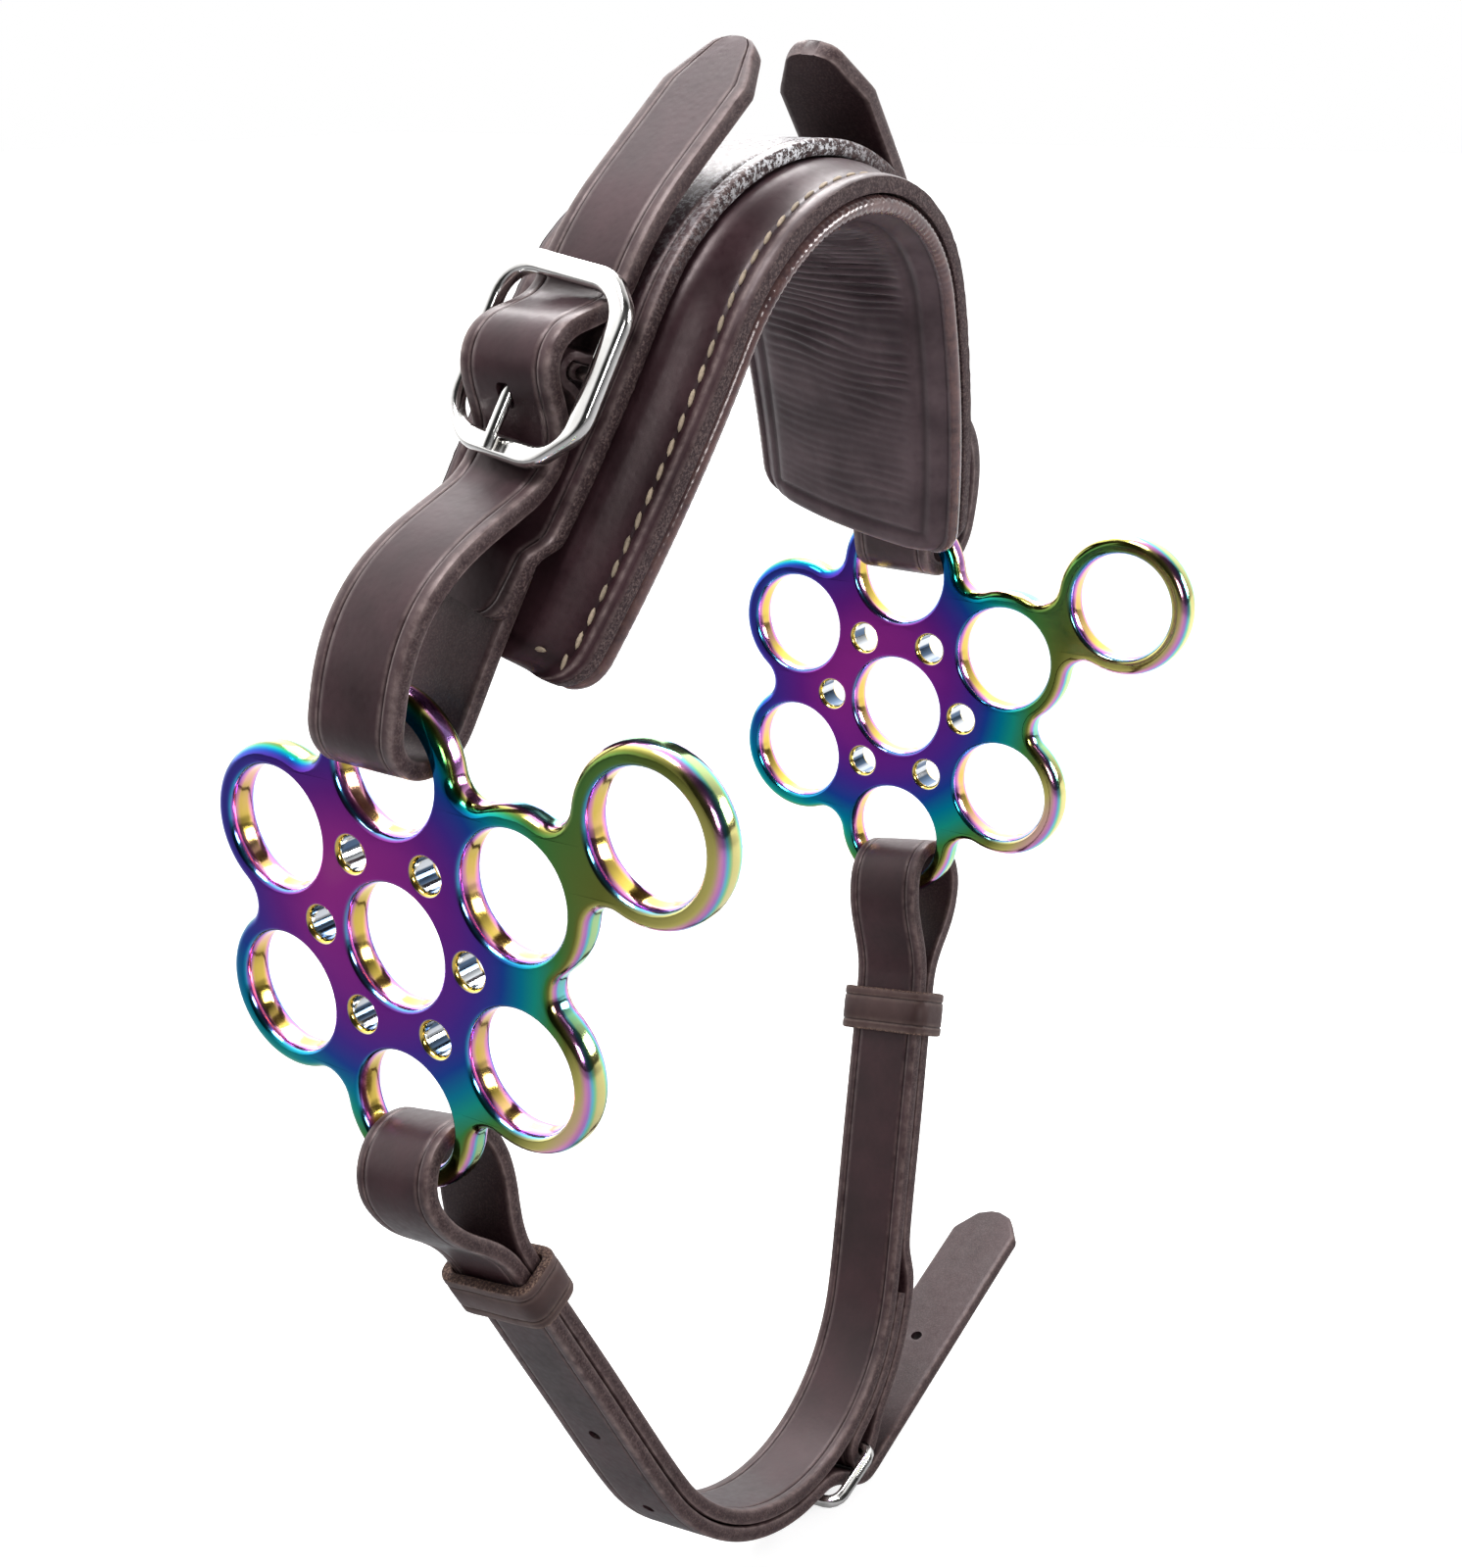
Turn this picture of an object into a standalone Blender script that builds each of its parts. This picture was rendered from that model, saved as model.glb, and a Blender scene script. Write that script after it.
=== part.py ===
"""Bitless hackamore: a padded noseband, two ringed cheek wheels and a doubled chin strap.

X runs from the left wheel to the right, -Y is where the rein rings point, +Z is up.
The origin is where the middle of the lining sits on the nose.
"""
import math

import bmesh
import bpy
from mathutils import Matrix, Vector
from mathutils.geometry import interpolate_bezier

OBJECT_NAME = "hackamore"

# Gap kept between pieces that touch
GAP = 0.0003

# Where the wheels hang from the nose seat
WHEEL_SPREAD = 0.156
WHEEL_DROP = 0.1075
WHEEL_SETBACK = 0.0157
STRAP_LEAN = math.radians(10.0)

# Cheek wheel
PETAL_RADIUS = 0.030
RING_HOLE_RADIUS = 0.0106
RING_WALL = 0.0038
WHEEL_THICKNESS = 0.006
REIN_RING_THICKNESS = 0.0056
REIN_RING_DISTANCE = 0.060
WEB_FILLET = 0.0045
WHEEL_EDGE_ROUND = 0.0013
SMALL_HOLE_RADIUS = 0.0032
SMALL_HOLE_CIRCLE = 0.0165
PETAL_COUNT = 6
REIN_ANGLE = math.radians(30.0)

# Noseband arch, measured on the outer face of the base leather's rim
ARCH_RADIUS = 0.0395
ARCH_LEG_ANGLE = math.radians(26.5)
ARCH_LEG_LENGTH = 0.0530
PAD_WIDTH = 0.048
PAD_DEPTH = 0.0095
PAD_CRESCENT = 0.0152
PAD_REAR_DRAW = 0.0045
PAD_CORNER = 0.007
BASE_THICKNESS = 0.0030
BASE_CROWN = 0.0045
CROWN_TOP_WIDTH = 0.0275
CROWN_FOOT_WIDTH = 0.0400
LINING_THICKNESS = 0.0014
OVERLAY_THICKNESS = 0.0028
OVERLAY_WIDTH = 0.0265
OVERLAY_END_MARGIN = 0.0045

# Nose straps
NOSE_STRAP_WIDTH = 0.018
NOSE_STRAP_THICKNESS = 0.0032
NOSE_STRAP_TUCK = 0.0113
NOSE_LOOP_RADIUS = 0.0067
NOSE_LOOP_OUTSET = 0.0008
NOSE_BILLET_TURN_LEFT = math.radians(22.0)
NOSE_BILLET_TURN_RIGHT = math.radians(19.0)
NOSE_BILLET_LENGTH = 0.0295
NOSE_LOOP_BULGE = 0.0240
NOSE_LOOP_FLARE = math.radians(38.0)
NOSE_FLARE_RUN = 0.0068

# Nose buckles, and where they sit on the legs of the arch
NOSE_BUCKLE_HEIGHT = 0.0420
NOSE_BUCKLE_LENGTH = 0.033
NOSE_BUCKLE_WIDTH = 0.0305
NOSE_BUCKLE_RIM = 0.0038
NOSE_BUCKLE_THICKNESS = 0.0030
NOSE_BUCKLE_CHAMFER = 0.0075
NOSE_BUCKLE_EDGE_ROUND = 0.0008
NOSE_WINDOW_CORNER = 0.0042
NOSE_BAR_RADIUS = 0.0013
NOSE_RIM_PLAY = 0.0010
NOSE_PRONG_RADIUS = 0.0011
CHAPE_THICKNESS = 0.0015
CHAPE_WIDTH = 0.0165
CHAPE_HALF_LENGTH = 0.0083

# Chin strap: one long strap laid double
CHIN_STRAP_WIDTH = 0.017
CHIN_STRAP_THICKNESS = 0.0030
CHIN_DEPTH = 0.1200
CHIN_ARC_RADIUS = 0.0450
CHIN_LOOP_RADIUS = 0.0070
CHIN_LOOP_INSET = 0.0007
CHIN_THROAT_DEPTH = 0.0335
CHIN_FOLD_LENGTH = 0.032
CHIN_FREE_LENGTH = 0.079
CHIN_FREE_RISE = math.radians(16.0)
CHIN_HOLE_RADIUS = 0.0013
CHIN_HOLE_PITCH = 0.0243
CHIN_HOLE_COUNT = 5

# Chin buckle and keepers
CHIN_BUCKLE_LEAD = 0.0178
CHIN_BUCKLE_LENGTH = 0.016
CHIN_WIRE_RADIUS = 0.0013
CHIN_PRONG_RADIUS = 0.0008
CHIN_RIM_PLAY = 0.0002
CHIN_FREE_PLAY = 0.0006
CHIN_BUCKLE_SIDE_PLAY = 0.0010
CHIN_BUCKLE_CORNER = 0.0030
KEEPER_DEPTH = 0.0390
KEEPER_LENGTH = 0.0095
KEEPER_WALL = 0.0021

# Play of the straps in the rings, of the prongs in their slots, and leather edge rounding
LOOP_SEAT_GAP = 0.0005
PRONG_SLOT_PLAY = 0.0005
PRONG_LIFT = 0.0013
LEATHER_EDGE_ROUND = 0.0005
PRONG_SLOT_REACH = 0.0043

MERGE_DISTANCE = 0.00002

# How high the crown is in the middle of the noseband, next to its height on the legs
CROWN_MIDDLE_SHARE = 0.5

# How far a prong is bent round its bar, its points after that, and how much its tip narrows
PRONG_WRAP = math.radians(275)
PRONG_POINT_SHARES = [0.5, 0.95, 1.0]
PRONG_TIP_SHARE = 0.8

# How far a strap keeps its heading at a loop's throat, leaving a buckle's rim and over its bar
THROAT_REACH_SHARE = 0.42
RIM_REACH_SHARE = 0.50
BAR_REACH_SHARE = 0.43

# Derived places
NOSE_HINGE_Z = PETAL_RADIUS - WHEEL_DROP
CHIN_HINGE_Z = -PETAL_RADIUS - WHEEL_DROP
ARCH_CENTRE_Z = PAD_DEPTH - ARCH_RADIUS
ARCH_QUARTER = ARCH_RADIUS * (math.pi / 2 - ARCH_LEG_ANGLE)
PAD_HALF_LENGTH = ARCH_QUARTER + ARCH_LEG_LENGTH
OVERLAY_TOP = BASE_CROWN + GAP + OVERLAY_THICKNESS
NOSE_RIM_STEP = NOSE_BUCKLE_THICKNESS / 2 + GAP + NOSE_RIM_PLAY + NOSE_STRAP_THICKNESS / 2
NOSE_HUMP = NOSE_BAR_RADIUS + 2 * NOSE_PRONG_RADIUS + 3 * GAP + NOSE_STRAP_THICKNESS / 2
NOSE_BUCKLE_OFFSET = OVERLAY_TOP + GAP + NOSE_STRAP_THICKNESS / 2 + NOSE_RIM_STEP
CHIN_LAYER_STEP = CHIN_STRAP_THICKNESS + GAP
CHIN_RIM_STEP = CHIN_WIRE_RADIUS + GAP + CHIN_RIM_PLAY + CHIN_STRAP_THICKNESS / 2
CHIN_FREE_STEP = CHIN_RIM_STEP + CHIN_LAYER_STEP + CHIN_FREE_PLAY

parts = bpy.data.collections.new(OBJECT_NAME)
cutters = bpy.data.collections.new("cutters")


def make_material(name, colour, roughness, metallic):
    """One plain finish."""
    material = bpy.data.materials.new(name)
    material.use_nodes = True
    shader = material.node_tree.nodes["Principled BSDF"]
    shader.inputs["Base Color"].default_value = (*colour, 1)
    shader.inputs["Roughness"].default_value = roughness
    shader.inputs["Metallic"].default_value = metallic
    return material


def add_object(name, mesh, material, collection=None):
    """Put a mesh in the scene as one named piece."""
    thing = bpy.data.objects.new(name, mesh)
    (collection or parts).objects.link(thing)
    if material:
        mesh.materials.clear()
        mesh.materials.append(material)
    return thing


def smooth(mesh):
    """Shade a mesh smooth but for its sharp edges."""
    mesh.shade_smooth()
    mesh.set_sharp_from_angle(angle=math.radians(35))


def add_modifier(thing, kind, **settings):
    """Add a modifier with the given settings."""
    modifier = thing.modifiers.new(kind.title(), kind)
    for key, value in settings.items():
        setattr(modifier, key, value)
    return modifier


def add_empty(name, location, rotation=(0, 0, 0)):
    """A joint axis or a carrier for the pieces parented to it."""
    empty = bpy.data.objects.new(name, None)
    parts.objects.link(empty)
    empty.location = location
    empty.rotation_euler = rotation
    return empty


def carry(thing, empty):
    """Parent a piece to an empty without moving it."""
    bpy.context.view_layer.update()
    thing.parent = empty
    thing.matrix_parent_inverse = empty.matrix_world.inverted()


def curve_to_mesh_object(name, curve, material, matrix, collection=None):
    """Turn a curve into a welded mesh object standing where the matrix puts it."""
    guide = bpy.data.objects.new(name + "_curve", curve)
    bpy.context.scene.collection.objects.link(guide)
    bpy.context.view_layer.update()
    depsgraph = bpy.context.evaluated_depsgraph_get()
    mesh = bpy.data.meshes.new_from_object(guide.evaluated_get(depsgraph))
    mesh.name = name
    bpy.data.objects.remove(guide)
    work = bmesh.new()
    work.from_mesh(mesh)
    bmesh.ops.remove_doubles(work, verts=work.verts, dist=MERGE_DISTANCE)
    bmesh.ops.recalc_face_normals(work, faces=work.faces)
    work.to_mesh(mesh)
    work.free()
    smooth(mesh)
    thing = add_object(name, mesh, material, collection)
    thing.matrix_world = matrix
    return thing


def flat_curve(name, outlines, half_thickness, edge_round):
    """A filled 2D curve from closed outlines, with its edges rounded inward."""
    curve = bpy.data.curves.new(name, "CURVE")
    curve.dimensions = "2D"
    curve.fill_mode = "BOTH"
    curve.extrude = half_thickness - edge_round
    curve.bevel_depth = edge_round
    curve.offset = -edge_round
    curve.bevel_resolution = 1
    for outline in outlines:
        spline = curve.splines.new("POLY")
        spline.points.add(len(outline) - 1)
        for point, (x, y) in zip(spline.points, outline):
            point.co = (x, y, 0, 1)
        spline.use_cyclic_u = True
    return curve


def wire_curve(name, points, radius, radii=None, cyclic=False):
    """A round wire along a list of points."""
    curve = bpy.data.curves.new(name, "CURVE")
    curve.dimensions = "3D"
    curve.bevel_depth = radius
    curve.bevel_resolution = 2
    curve.use_fill_caps = not cyclic
    spline = curve.splines.new("POLY")
    spline.points.add(len(points) - 1)
    for index, (point, place) in enumerate(zip(spline.points, points)):
        point.co = (*place, 1)
        point.radius = radii[index] if radii else 1
    spline.use_cyclic_u = cyclic
    return curve


def cut(thing, cutter, operation="DIFFERENCE"):
    """Cut or join with an exact Boolean."""
    add_modifier(thing, "BOOLEAN", operation=operation, object=cutter, solver="EXACT")
    cutter.hide_render = True
    cutter.display_type = "WIRE"


def box_cutter(name, size, matrix):
    """A block that cuts, given its full size and its place."""
    mesh = bpy.data.meshes.new(name)
    work = bmesh.new()
    bmesh.ops.create_cube(work, size=1)
    bmesh.ops.scale(work, vec=size, verts=work.verts)
    work.to_mesh(mesh)
    work.free()
    cutter = add_object(name, mesh, None, cutters)
    cutter.matrix_world = matrix
    return cutter


def rod_mesh(name, radius, length, segments=16):
    """A closed cylinder along local Z about its middle."""
    mesh = bpy.data.meshes.new(name)
    work = bmesh.new()
    bmesh.ops.create_cone(
        work, cap_ends=True, segments=segments, radius1=radius, radius2=radius, depth=length)
    work.to_mesh(mesh)
    work.free()
    return mesh


def axes_matrix(place, x_axis, y_axis):
    """A placement from an origin and two of its axes."""
    x_axis = Vector(x_axis).normalized()
    y_axis = Vector(y_axis).normalized()
    z_axis = x_axis.cross(y_axis)
    matrix = Matrix((x_axis, y_axis, z_axis)).transposed().to_4x4()
    matrix.translation = Vector(place)
    return matrix


def formed_sheet(name, rows, columns, place, material, thickness, offset, edge_round=0.0):
    """A grid bent to shape row by row, then thickened and its edges eased."""
    mesh = bpy.data.meshes.new(name)
    work = bmesh.new()
    bmesh.ops.create_grid(work, x_segments=rows - 1, y_segments=columns - 1, size=1)
    for vertex in work.verts:
        row = round((vertex.co.x + 1) / 2 * (rows - 1))
        column = round((vertex.co.y + 1) / 2 * (columns - 1))
        vertex.co = place(row, column)
    work.to_mesh(mesh)
    work.free()
    smooth(mesh)
    thing = add_object(name, mesh, material)
    add_modifier(thing, "SOLIDIFY", thickness=thickness, offset=offset, use_even_offset=True)
    if edge_round:
        add_modifier(
            thing, "BEVEL", width=edge_round, segments=1, limit_method="ANGLE",
            angle_limit=math.radians(60), use_clamp_overlap=True)
    return thing


def ease(share):
    """A smooth rise from 0 to 1."""
    share = min(max(share, 0.0), 1.0)
    return share * share * (3 - 2 * share)


def join_route(start, start_heading, end, end_heading, reach_out, reach_in, steps):
    """Points of a smooth curve between two places with given headings, the start left out."""
    start = Vector(start)
    end = Vector(end)
    points = interpolate_bezier(
        start, start + Vector(start_heading) * reach_out,
        end - Vector(end_heading) * reach_in, end, steps + 1)
    return points[1:]


def arc_reach(radius, turn):
    """How far a curve's handles reach to follow an arc."""
    return 4 / 3 * math.tan(turn / 4) * radius


def arch_point(along, offset):
    """X and Z on the noseband arch: distance from the middle, and height off the rim's face."""
    side = -1 if along < 0 else 1
    turn = min(abs(along), ARCH_QUARTER) / ARCH_RADIUS
    rest = max(abs(along) - ARCH_QUARTER, 0.0)
    x = (ARCH_RADIUS + offset) * math.sin(turn) + rest * math.cos(turn)
    z = ARCH_CENTRE_Z + (ARCH_RADIUS + offset) * math.cos(turn) - rest * math.sin(turn)
    return side * x, z


def pad_middle_y(along):
    """The noseband is cut as a crescent, so its middle lies ahead of its ends."""
    return PAD_CRESCENT * (along / PAD_HALF_LENGTH) ** 2


def pad_place(along, across, height):
    """A place on the noseband: along its middle line, square across from it, and off the rim's face."""
    turn = math.atan(2 * PAD_CRESCENT * along / PAD_HALF_LENGTH ** 2)
    if across > 0:
        across *= 1 - PAD_REAR_DRAW / (PAD_WIDTH / 2) * (along / PAD_HALF_LENGTH) ** 2
    x, z = arch_point(along - across * math.sin(turn), height)
    return x, pad_middle_y(along) + across * math.cos(turn), z


def crown_height(along):
    """Full height of the padded crown above the rim: lower in the middle than on the legs."""
    return BASE_CROWN * (CROWN_MIDDLE_SHARE + (1 - CROWN_MIDDLE_SHARE) * ease(abs(along) / ARCH_QUARTER))


def crown(along, across):
    """Height of the crown above the rim at a place on the noseband."""
    ramp = (CROWN_FOOT_WIDTH / 2 - abs(across)) / (CROWN_FOOT_WIDTH / 2 - CROWN_TOP_WIDTH / 2)
    return crown_height(along) * ease(ramp)


def nose_strap_y(z):
    """A nose strap leans forward as it rises from the ring."""
    return WHEEL_SETBACK - math.tan(STRAP_LEAN) * (z - NOSE_HINGE_Z)


# Noseband

# Rows along the noseband as shares of its half length, and columns across as shares of its half width
PAD_ROW_SHARES = [
    -1.0, -0.96, -0.9, -0.8, -0.7, -0.6, -0.52, -0.45, -0.39, -0.33, -0.27, -0.21, -0.15, -0.09, -0.03,
    0.03, 0.09, 0.15, 0.21, 0.27, 0.33, 0.39, 0.45, 0.52, 0.6, 0.7, 0.8, 0.9, 0.96, 1.0]
BASE_COLUMN_SHARES = [-1.0, -0.85, -0.78, -0.70, -0.62, -0.55, -0.2, 0.2, 0.55, 0.62, 0.70, 0.78, 0.85, 1.0]

# The lining's section from the front lip to the rear: shares of the half width, and of the way
# from the lip down to the deepest middle
LINING_SECTION_SHARES = [
    (-0.955, 0.0), (-0.975, 0.20), (-0.950, 0.50), (-0.860, 0.68), (-0.600, 0.86), (-0.300, 0.97),
    (0.0, 1.0), (0.300, 0.97), (0.600, 0.86), (0.860, 0.68), (0.950, 0.50), (0.975, 0.20), (0.955, 0.0)]

# The foam's underside in the same shares, and its sides
FOAM_UNDER_SHARES = [(0.88, 0.35), (0.80, 0.72), (0.60, 0.86), (0.30, 0.97)]
FOAM_SIDE_SHARE = 0.86


def lining_depth(share):
    """Depth of the lining's middle surface below the rim's face."""
    lip = BASE_THICKNESS + GAP + LINING_THICKNESS / 2
    deepest = PAD_DEPTH - LINING_THICKNESS / 2
    return lip + share * (deepest - lip)


def foam_section(along):
    """The foam's closed section at a distance along: distance across and height off the rim's face."""
    half = PAD_WIDTH / 2
    under_rim = -(BASE_THICKNESS + GAP)
    clear = LINING_THICKNESS / 2 + GAP
    right = [(CROWN_TOP_WIDTH / 2 - BASE_THICKNESS, crown_height(along) + under_rim),
             (CROWN_FOOT_WIDTH / 2 - BASE_THICKNESS, under_rim), (FOAM_SIDE_SHARE * half, under_rim)]
    right += [(share * half, clear - lining_depth(depth_share)) for share, depth_share in FOAM_UNDER_SHARES]
    left = [(-across, height) for across, height in reversed(right)]
    return right + [(0, clear - lining_depth(1))] + left


def end_narrowing(along, corner):
    """How much each side draws in near the noseband's ends, for their cut corners."""
    return max(corner - (PAD_HALF_LENGTH - abs(along)), 0.0)


def make_base(material):
    """The thick base leather with its raised middle and flat stitched rim."""
    def place(row, column):
        along = PAD_ROW_SHARES[row] * PAD_HALF_LENGTH
        across = BASE_COLUMN_SHARES[column] * PAD_WIDTH / 2
        drawn = 1 - end_narrowing(along, PAD_CORNER) / (PAD_WIDTH / 2)
        return pad_place(along, across * drawn, crown(along, across))
    return formed_sheet(
        "noseband_base", len(PAD_ROW_SHARES), len(BASE_COLUMN_SHARES), place, material,
        BASE_THICKNESS, -1)


def make_lining(material):
    """The soft lining, rolled up round the pad's edges."""
    def place(row, column):
        width_share, depth_share = LINING_SECTION_SHARES[column]
        along = PAD_ROW_SHARES[row] * PAD_HALF_LENGTH
        across = width_share * PAD_WIDTH / 2
        drawn = 1 - end_narrowing(along, PAD_CORNER) / (PAD_WIDTH / 2)
        return pad_place(along, across * drawn, -lining_depth(depth_share))
    return formed_sheet(
        "nose_pad_lining", len(PAD_ROW_SHARES), len(LINING_SECTION_SHARES), place, material,
        LINING_THICKNESS, 0)


def make_foam(material):
    """The foam between lining and base: one closed section swept along the arch."""
    mesh = bpy.data.meshes.new("nose_pad_foam")
    work = bmesh.new()
    rows = []
    for row_share in PAD_ROW_SHARES[2:-2]:
        along = row_share * PAD_HALF_LENGTH
        ring = []
        for across, height in foam_section(along):
            ring.append(work.verts.new(pad_place(along, across, height)))
        rows.append(ring)
    for ring in rows:
        for index, vertex in enumerate(ring):
            work.edges.new((vertex, ring[(index + 1) % len(ring)]))
    for before, after in zip(rows, rows[1:]):
        edges = [edge for edge in work.edges
                 if all(v in before for v in edge.verts) or all(v in after for v in edge.verts)]
        bmesh.ops.bridge_loops(work, edges=edges)
    bmesh.ops.holes_fill(work, edges=work.edges, sides=len(rows[0]))
    bmesh.ops.recalc_face_normals(work, faces=work.faces)
    work.to_mesh(mesh)
    work.free()
    return add_object("nose_pad_foam", mesh, material)


# Rows near the overlay's ends as shares of its half length, rows on its ramp as shares of the ramp,
# and how close another row may come to the ramp
OVERLAY_END_SHARES = [-1.0, -0.98, -0.96, -0.91]
RAMP_SHARES = [0.0, 0.3, 0.6, 1.0]
ROW_SPACING_SHARE = 0.03


def make_overlay(material):
    """The raised strap along the crown; its ends pass over the nose straps' sewn ends."""
    end = PAD_HALF_LENGTH - OVERLAY_END_MARGIN
    lift_start = PAD_HALF_LENGTH - NOSE_STRAP_TUCK - NOSE_STRAP_THICKNESS
    lift_run = 3 / 2 * NOSE_STRAP_THICKNESS
    lift = NOSE_STRAP_THICKNESS + GAP
    shares = [share * end / PAD_HALF_LENGTH for share in OVERLAY_END_SHARES]
    ramp = [(share * lift_run - lift_start) / PAD_HALF_LENGTH for share in RAMP_SHARES]
    shares += ramp
    shares += [share for share in PAD_ROW_SHARES if ramp[-1] + ROW_SPACING_SHARE < share < 0]
    shares += [-share for share in reversed(shares)]

    def place(row, column):
        along = shares[row] * PAD_HALF_LENGTH
        raised = lift * ease((abs(along) - lift_start + lift_run) / lift_run)
        corner = max(PAD_CORNER / 2 - (end - abs(along)), 0.0)
        across = (column * 2 - 1) * (OVERLAY_WIDTH / 2 - corner)
        return pad_place(along, across, crown_height(along) + GAP + OVERLAY_THICKNESS / 2 + raised)
    return formed_sheet(
        "noseband_overlay", len(shares), 2, place, material, OVERLAY_THICKNESS, 0,
        LEATHER_EDGE_ROUND)


# Nose straps and their buckles

def leg_axes(side):
    """Up along a leg of the arch, and out from its face, in X and Z."""
    up = Vector((-side * math.sin(ARCH_LEG_ANGLE), math.cos(ARCH_LEG_ANGLE)))
    out = Vector((side * math.cos(ARCH_LEG_ANGLE), math.sin(ARCH_LEG_ANGLE)))
    return up, out


def nose_buckle_frame(side):
    """Middle of a nose buckle and its axes: up the strap, across it and out."""
    x, z = arch_point(side * (PAD_HALF_LENGTH - NOSE_BUCKLE_HEIGHT), NOSE_BUCKLE_OFFSET)
    up, out = leg_axes(side)
    strap_up = Vector((up.x, -math.tan(STRAP_LEAN) * up.y, up.y)).normalized()
    outward = Vector((out.x, 0, out.y))
    across = outward.cross(strap_up)
    return Vector((x, nose_strap_y(z), z)), strap_up, across, outward


def ring_seat_drop():
    """How far from a ring's centre the flat face of a leaning strap lies when its edges touch the ring."""
    lean = math.tan(STRAP_LEAN)
    reach = RING_HOLE_RADIUS - LOOP_SEAT_GAP
    half = NOSE_STRAP_WIDTH / 2
    inside = (lean * half) ** 2 - (1 + lean ** 2) * (half ** 2 - reach ** 2)
    return (math.sqrt(inside) - lean * half) / (1 + lean ** 2)


def nose_strap_over_bar():
    """The strap from one rim of its buckle over the bar to the other: along the strap, and outward."""
    rim = NOSE_BUCKLE_LENGTH / 2 - NOSE_BUCKLE_RIM / 2
    leave = rim * RIM_REACH_SHARE
    reach = rim * BAR_REACH_SHARE
    low = Vector((-rim, -NOSE_RIM_STEP))
    top = Vector((0, NOSE_HUMP))
    high = Vector((rim, -NOSE_RIM_STEP))
    points = join_route(low, (1, 0), top, (1, 0), leave, reach, 9)
    return points + join_route(top, (1, 0), high, (1, 0), reach, leave, 9)


def nose_strap_route(side):
    """X and Z along a nose strap's middle, from its sewn end round the ring to the billet's tip."""
    up, out = leg_axes(side)
    down = -up
    lying = BASE_CROWN + GAP + NOSE_STRAP_THICKNESS / 2
    sewn = Vector(arch_point(side * (PAD_HALF_LENGTH - NOSE_STRAP_TUCK), lying))
    foot = Vector(arch_point(side * PAD_HALF_LENGTH, lying))
    radius = NOSE_LOOP_RADIUS + NOSE_STRAP_THICKNESS / 2
    centre = Vector((side * (WHEEL_SPREAD / 2 + NOSE_LOOP_OUTSET),
                     NOSE_HINGE_Z + ring_seat_drop() + NOSE_LOOP_RADIUS))
    entry = centre - out * radius
    bottom = centre + Vector((0, -radius))
    outermost = centre + Vector((side * radius, 0))
    quarter = math.pi / 2
    swing = quarter - ARCH_LEG_ANGLE
    run = (foot - entry).length / 3
    points = [sewn, sewn.lerp(foot, 1 / 2), foot]
    points += join_route(foot, down, entry, down, run, run, 5)
    points += join_route(entry, down, bottom, (side, 0), arc_reach(radius, swing),
                         arc_reach(radius, swing), 5)
    points += join_route(bottom, (side, 0), outermost, (0, 1), arc_reach(radius, quarter),
                         arc_reach(radius, quarter), 6)
    middle = Vector(arch_point(side * (PAD_HALF_LENGTH - NOSE_BUCKLE_HEIGHT), NOSE_BUCKLE_OFFSET))
    rim = NOSE_BUCKLE_LENGTH / 2 - NOSE_BUCKLE_RIM / 2
    low = middle - up * rim - out * NOSE_RIM_STEP
    flare_up = up * math.cos(NOSE_LOOP_FLARE) - out * math.sin(NOSE_LOOP_FLARE)
    below = low - up * NOSE_FLARE_RUN + out * (NOSE_FLARE_RUN * math.tan(NOSE_LOOP_FLARE / 2))
    high = middle + up * rim - out * NOSE_RIM_STEP
    points += join_route(outermost, (0, 1), below, flare_up, NOSE_LOOP_BULGE, NOSE_LOOP_BULGE / 2, 9)
    points += join_route(below, flare_up, low, up, NOSE_FLARE_RUN / 3, NOSE_FLARE_RUN / 3, 4)
    points += [middle + up * point.x + out * point.y for point in nose_strap_over_bar()]
    # Past the rim the billet follows the arch a little and then stands straight
    bend_radius = ARCH_RADIUS + NOSE_BUCKLE_OFFSET - NOSE_RIM_STEP
    bend_centre = high - out * bend_radius
    turn = NOSE_BILLET_TURN_LEFT if side < 0 else NOSE_BILLET_TURN_RIGHT
    turned = ARCH_LEG_ANGLE + turn
    for step in range(1, 6):
        angle = ARCH_LEG_ANGLE + turn * step / 5
        points.append(bend_centre + bend_radius * Vector((side * math.cos(angle), math.sin(angle))))
    straight = Vector((-side * math.sin(turned), math.cos(turned)))
    start = points[-1]
    points += [start + straight * NOSE_BILLET_LENGTH * share for share in BILLET_SHARES]
    return points


# Where rows fall along a billet's straight run, and the half width shares of its rounded tip
BILLET_SHARES = [0.4, 0.8, 0.88, 0.94, 0.98, 1.0]
TIP_WIDTH_SHARES = [1.0, 0.86, 0.64, 0.42]


def strap_sheet(name, route, width, thickness, place_point, place_across, material):
    """A flat strap along a route, square to its own direction, with a rounded tip at its far end."""
    count = len(route)
    middles = [place_point(point) for point in route]

    def place(row, column):
        from_tip = count - 1 - row
        share = TIP_WIDTH_SHARES[3 - from_tip] if from_tip < len(TIP_WIDTH_SHARES) else 1.0
        heading = middles[min(row + 1, count - 1)] - middles[max(row - 1, 0)]
        return middles[row] + place_across(heading) * (column * 2 - 1) * width / 2 * share
    return formed_sheet(name, count, 2, place, material, thickness, 0, LEATHER_EDGE_ROUND)


def square_to_heading(heading):
    """The width direction of a strap that lies on a surface drawn out along Y."""
    normal = Vector((-heading.z, 0, heading.x))
    across = normal.cross(heading).normalized()
    return across if across.y > 0 else -across


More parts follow.
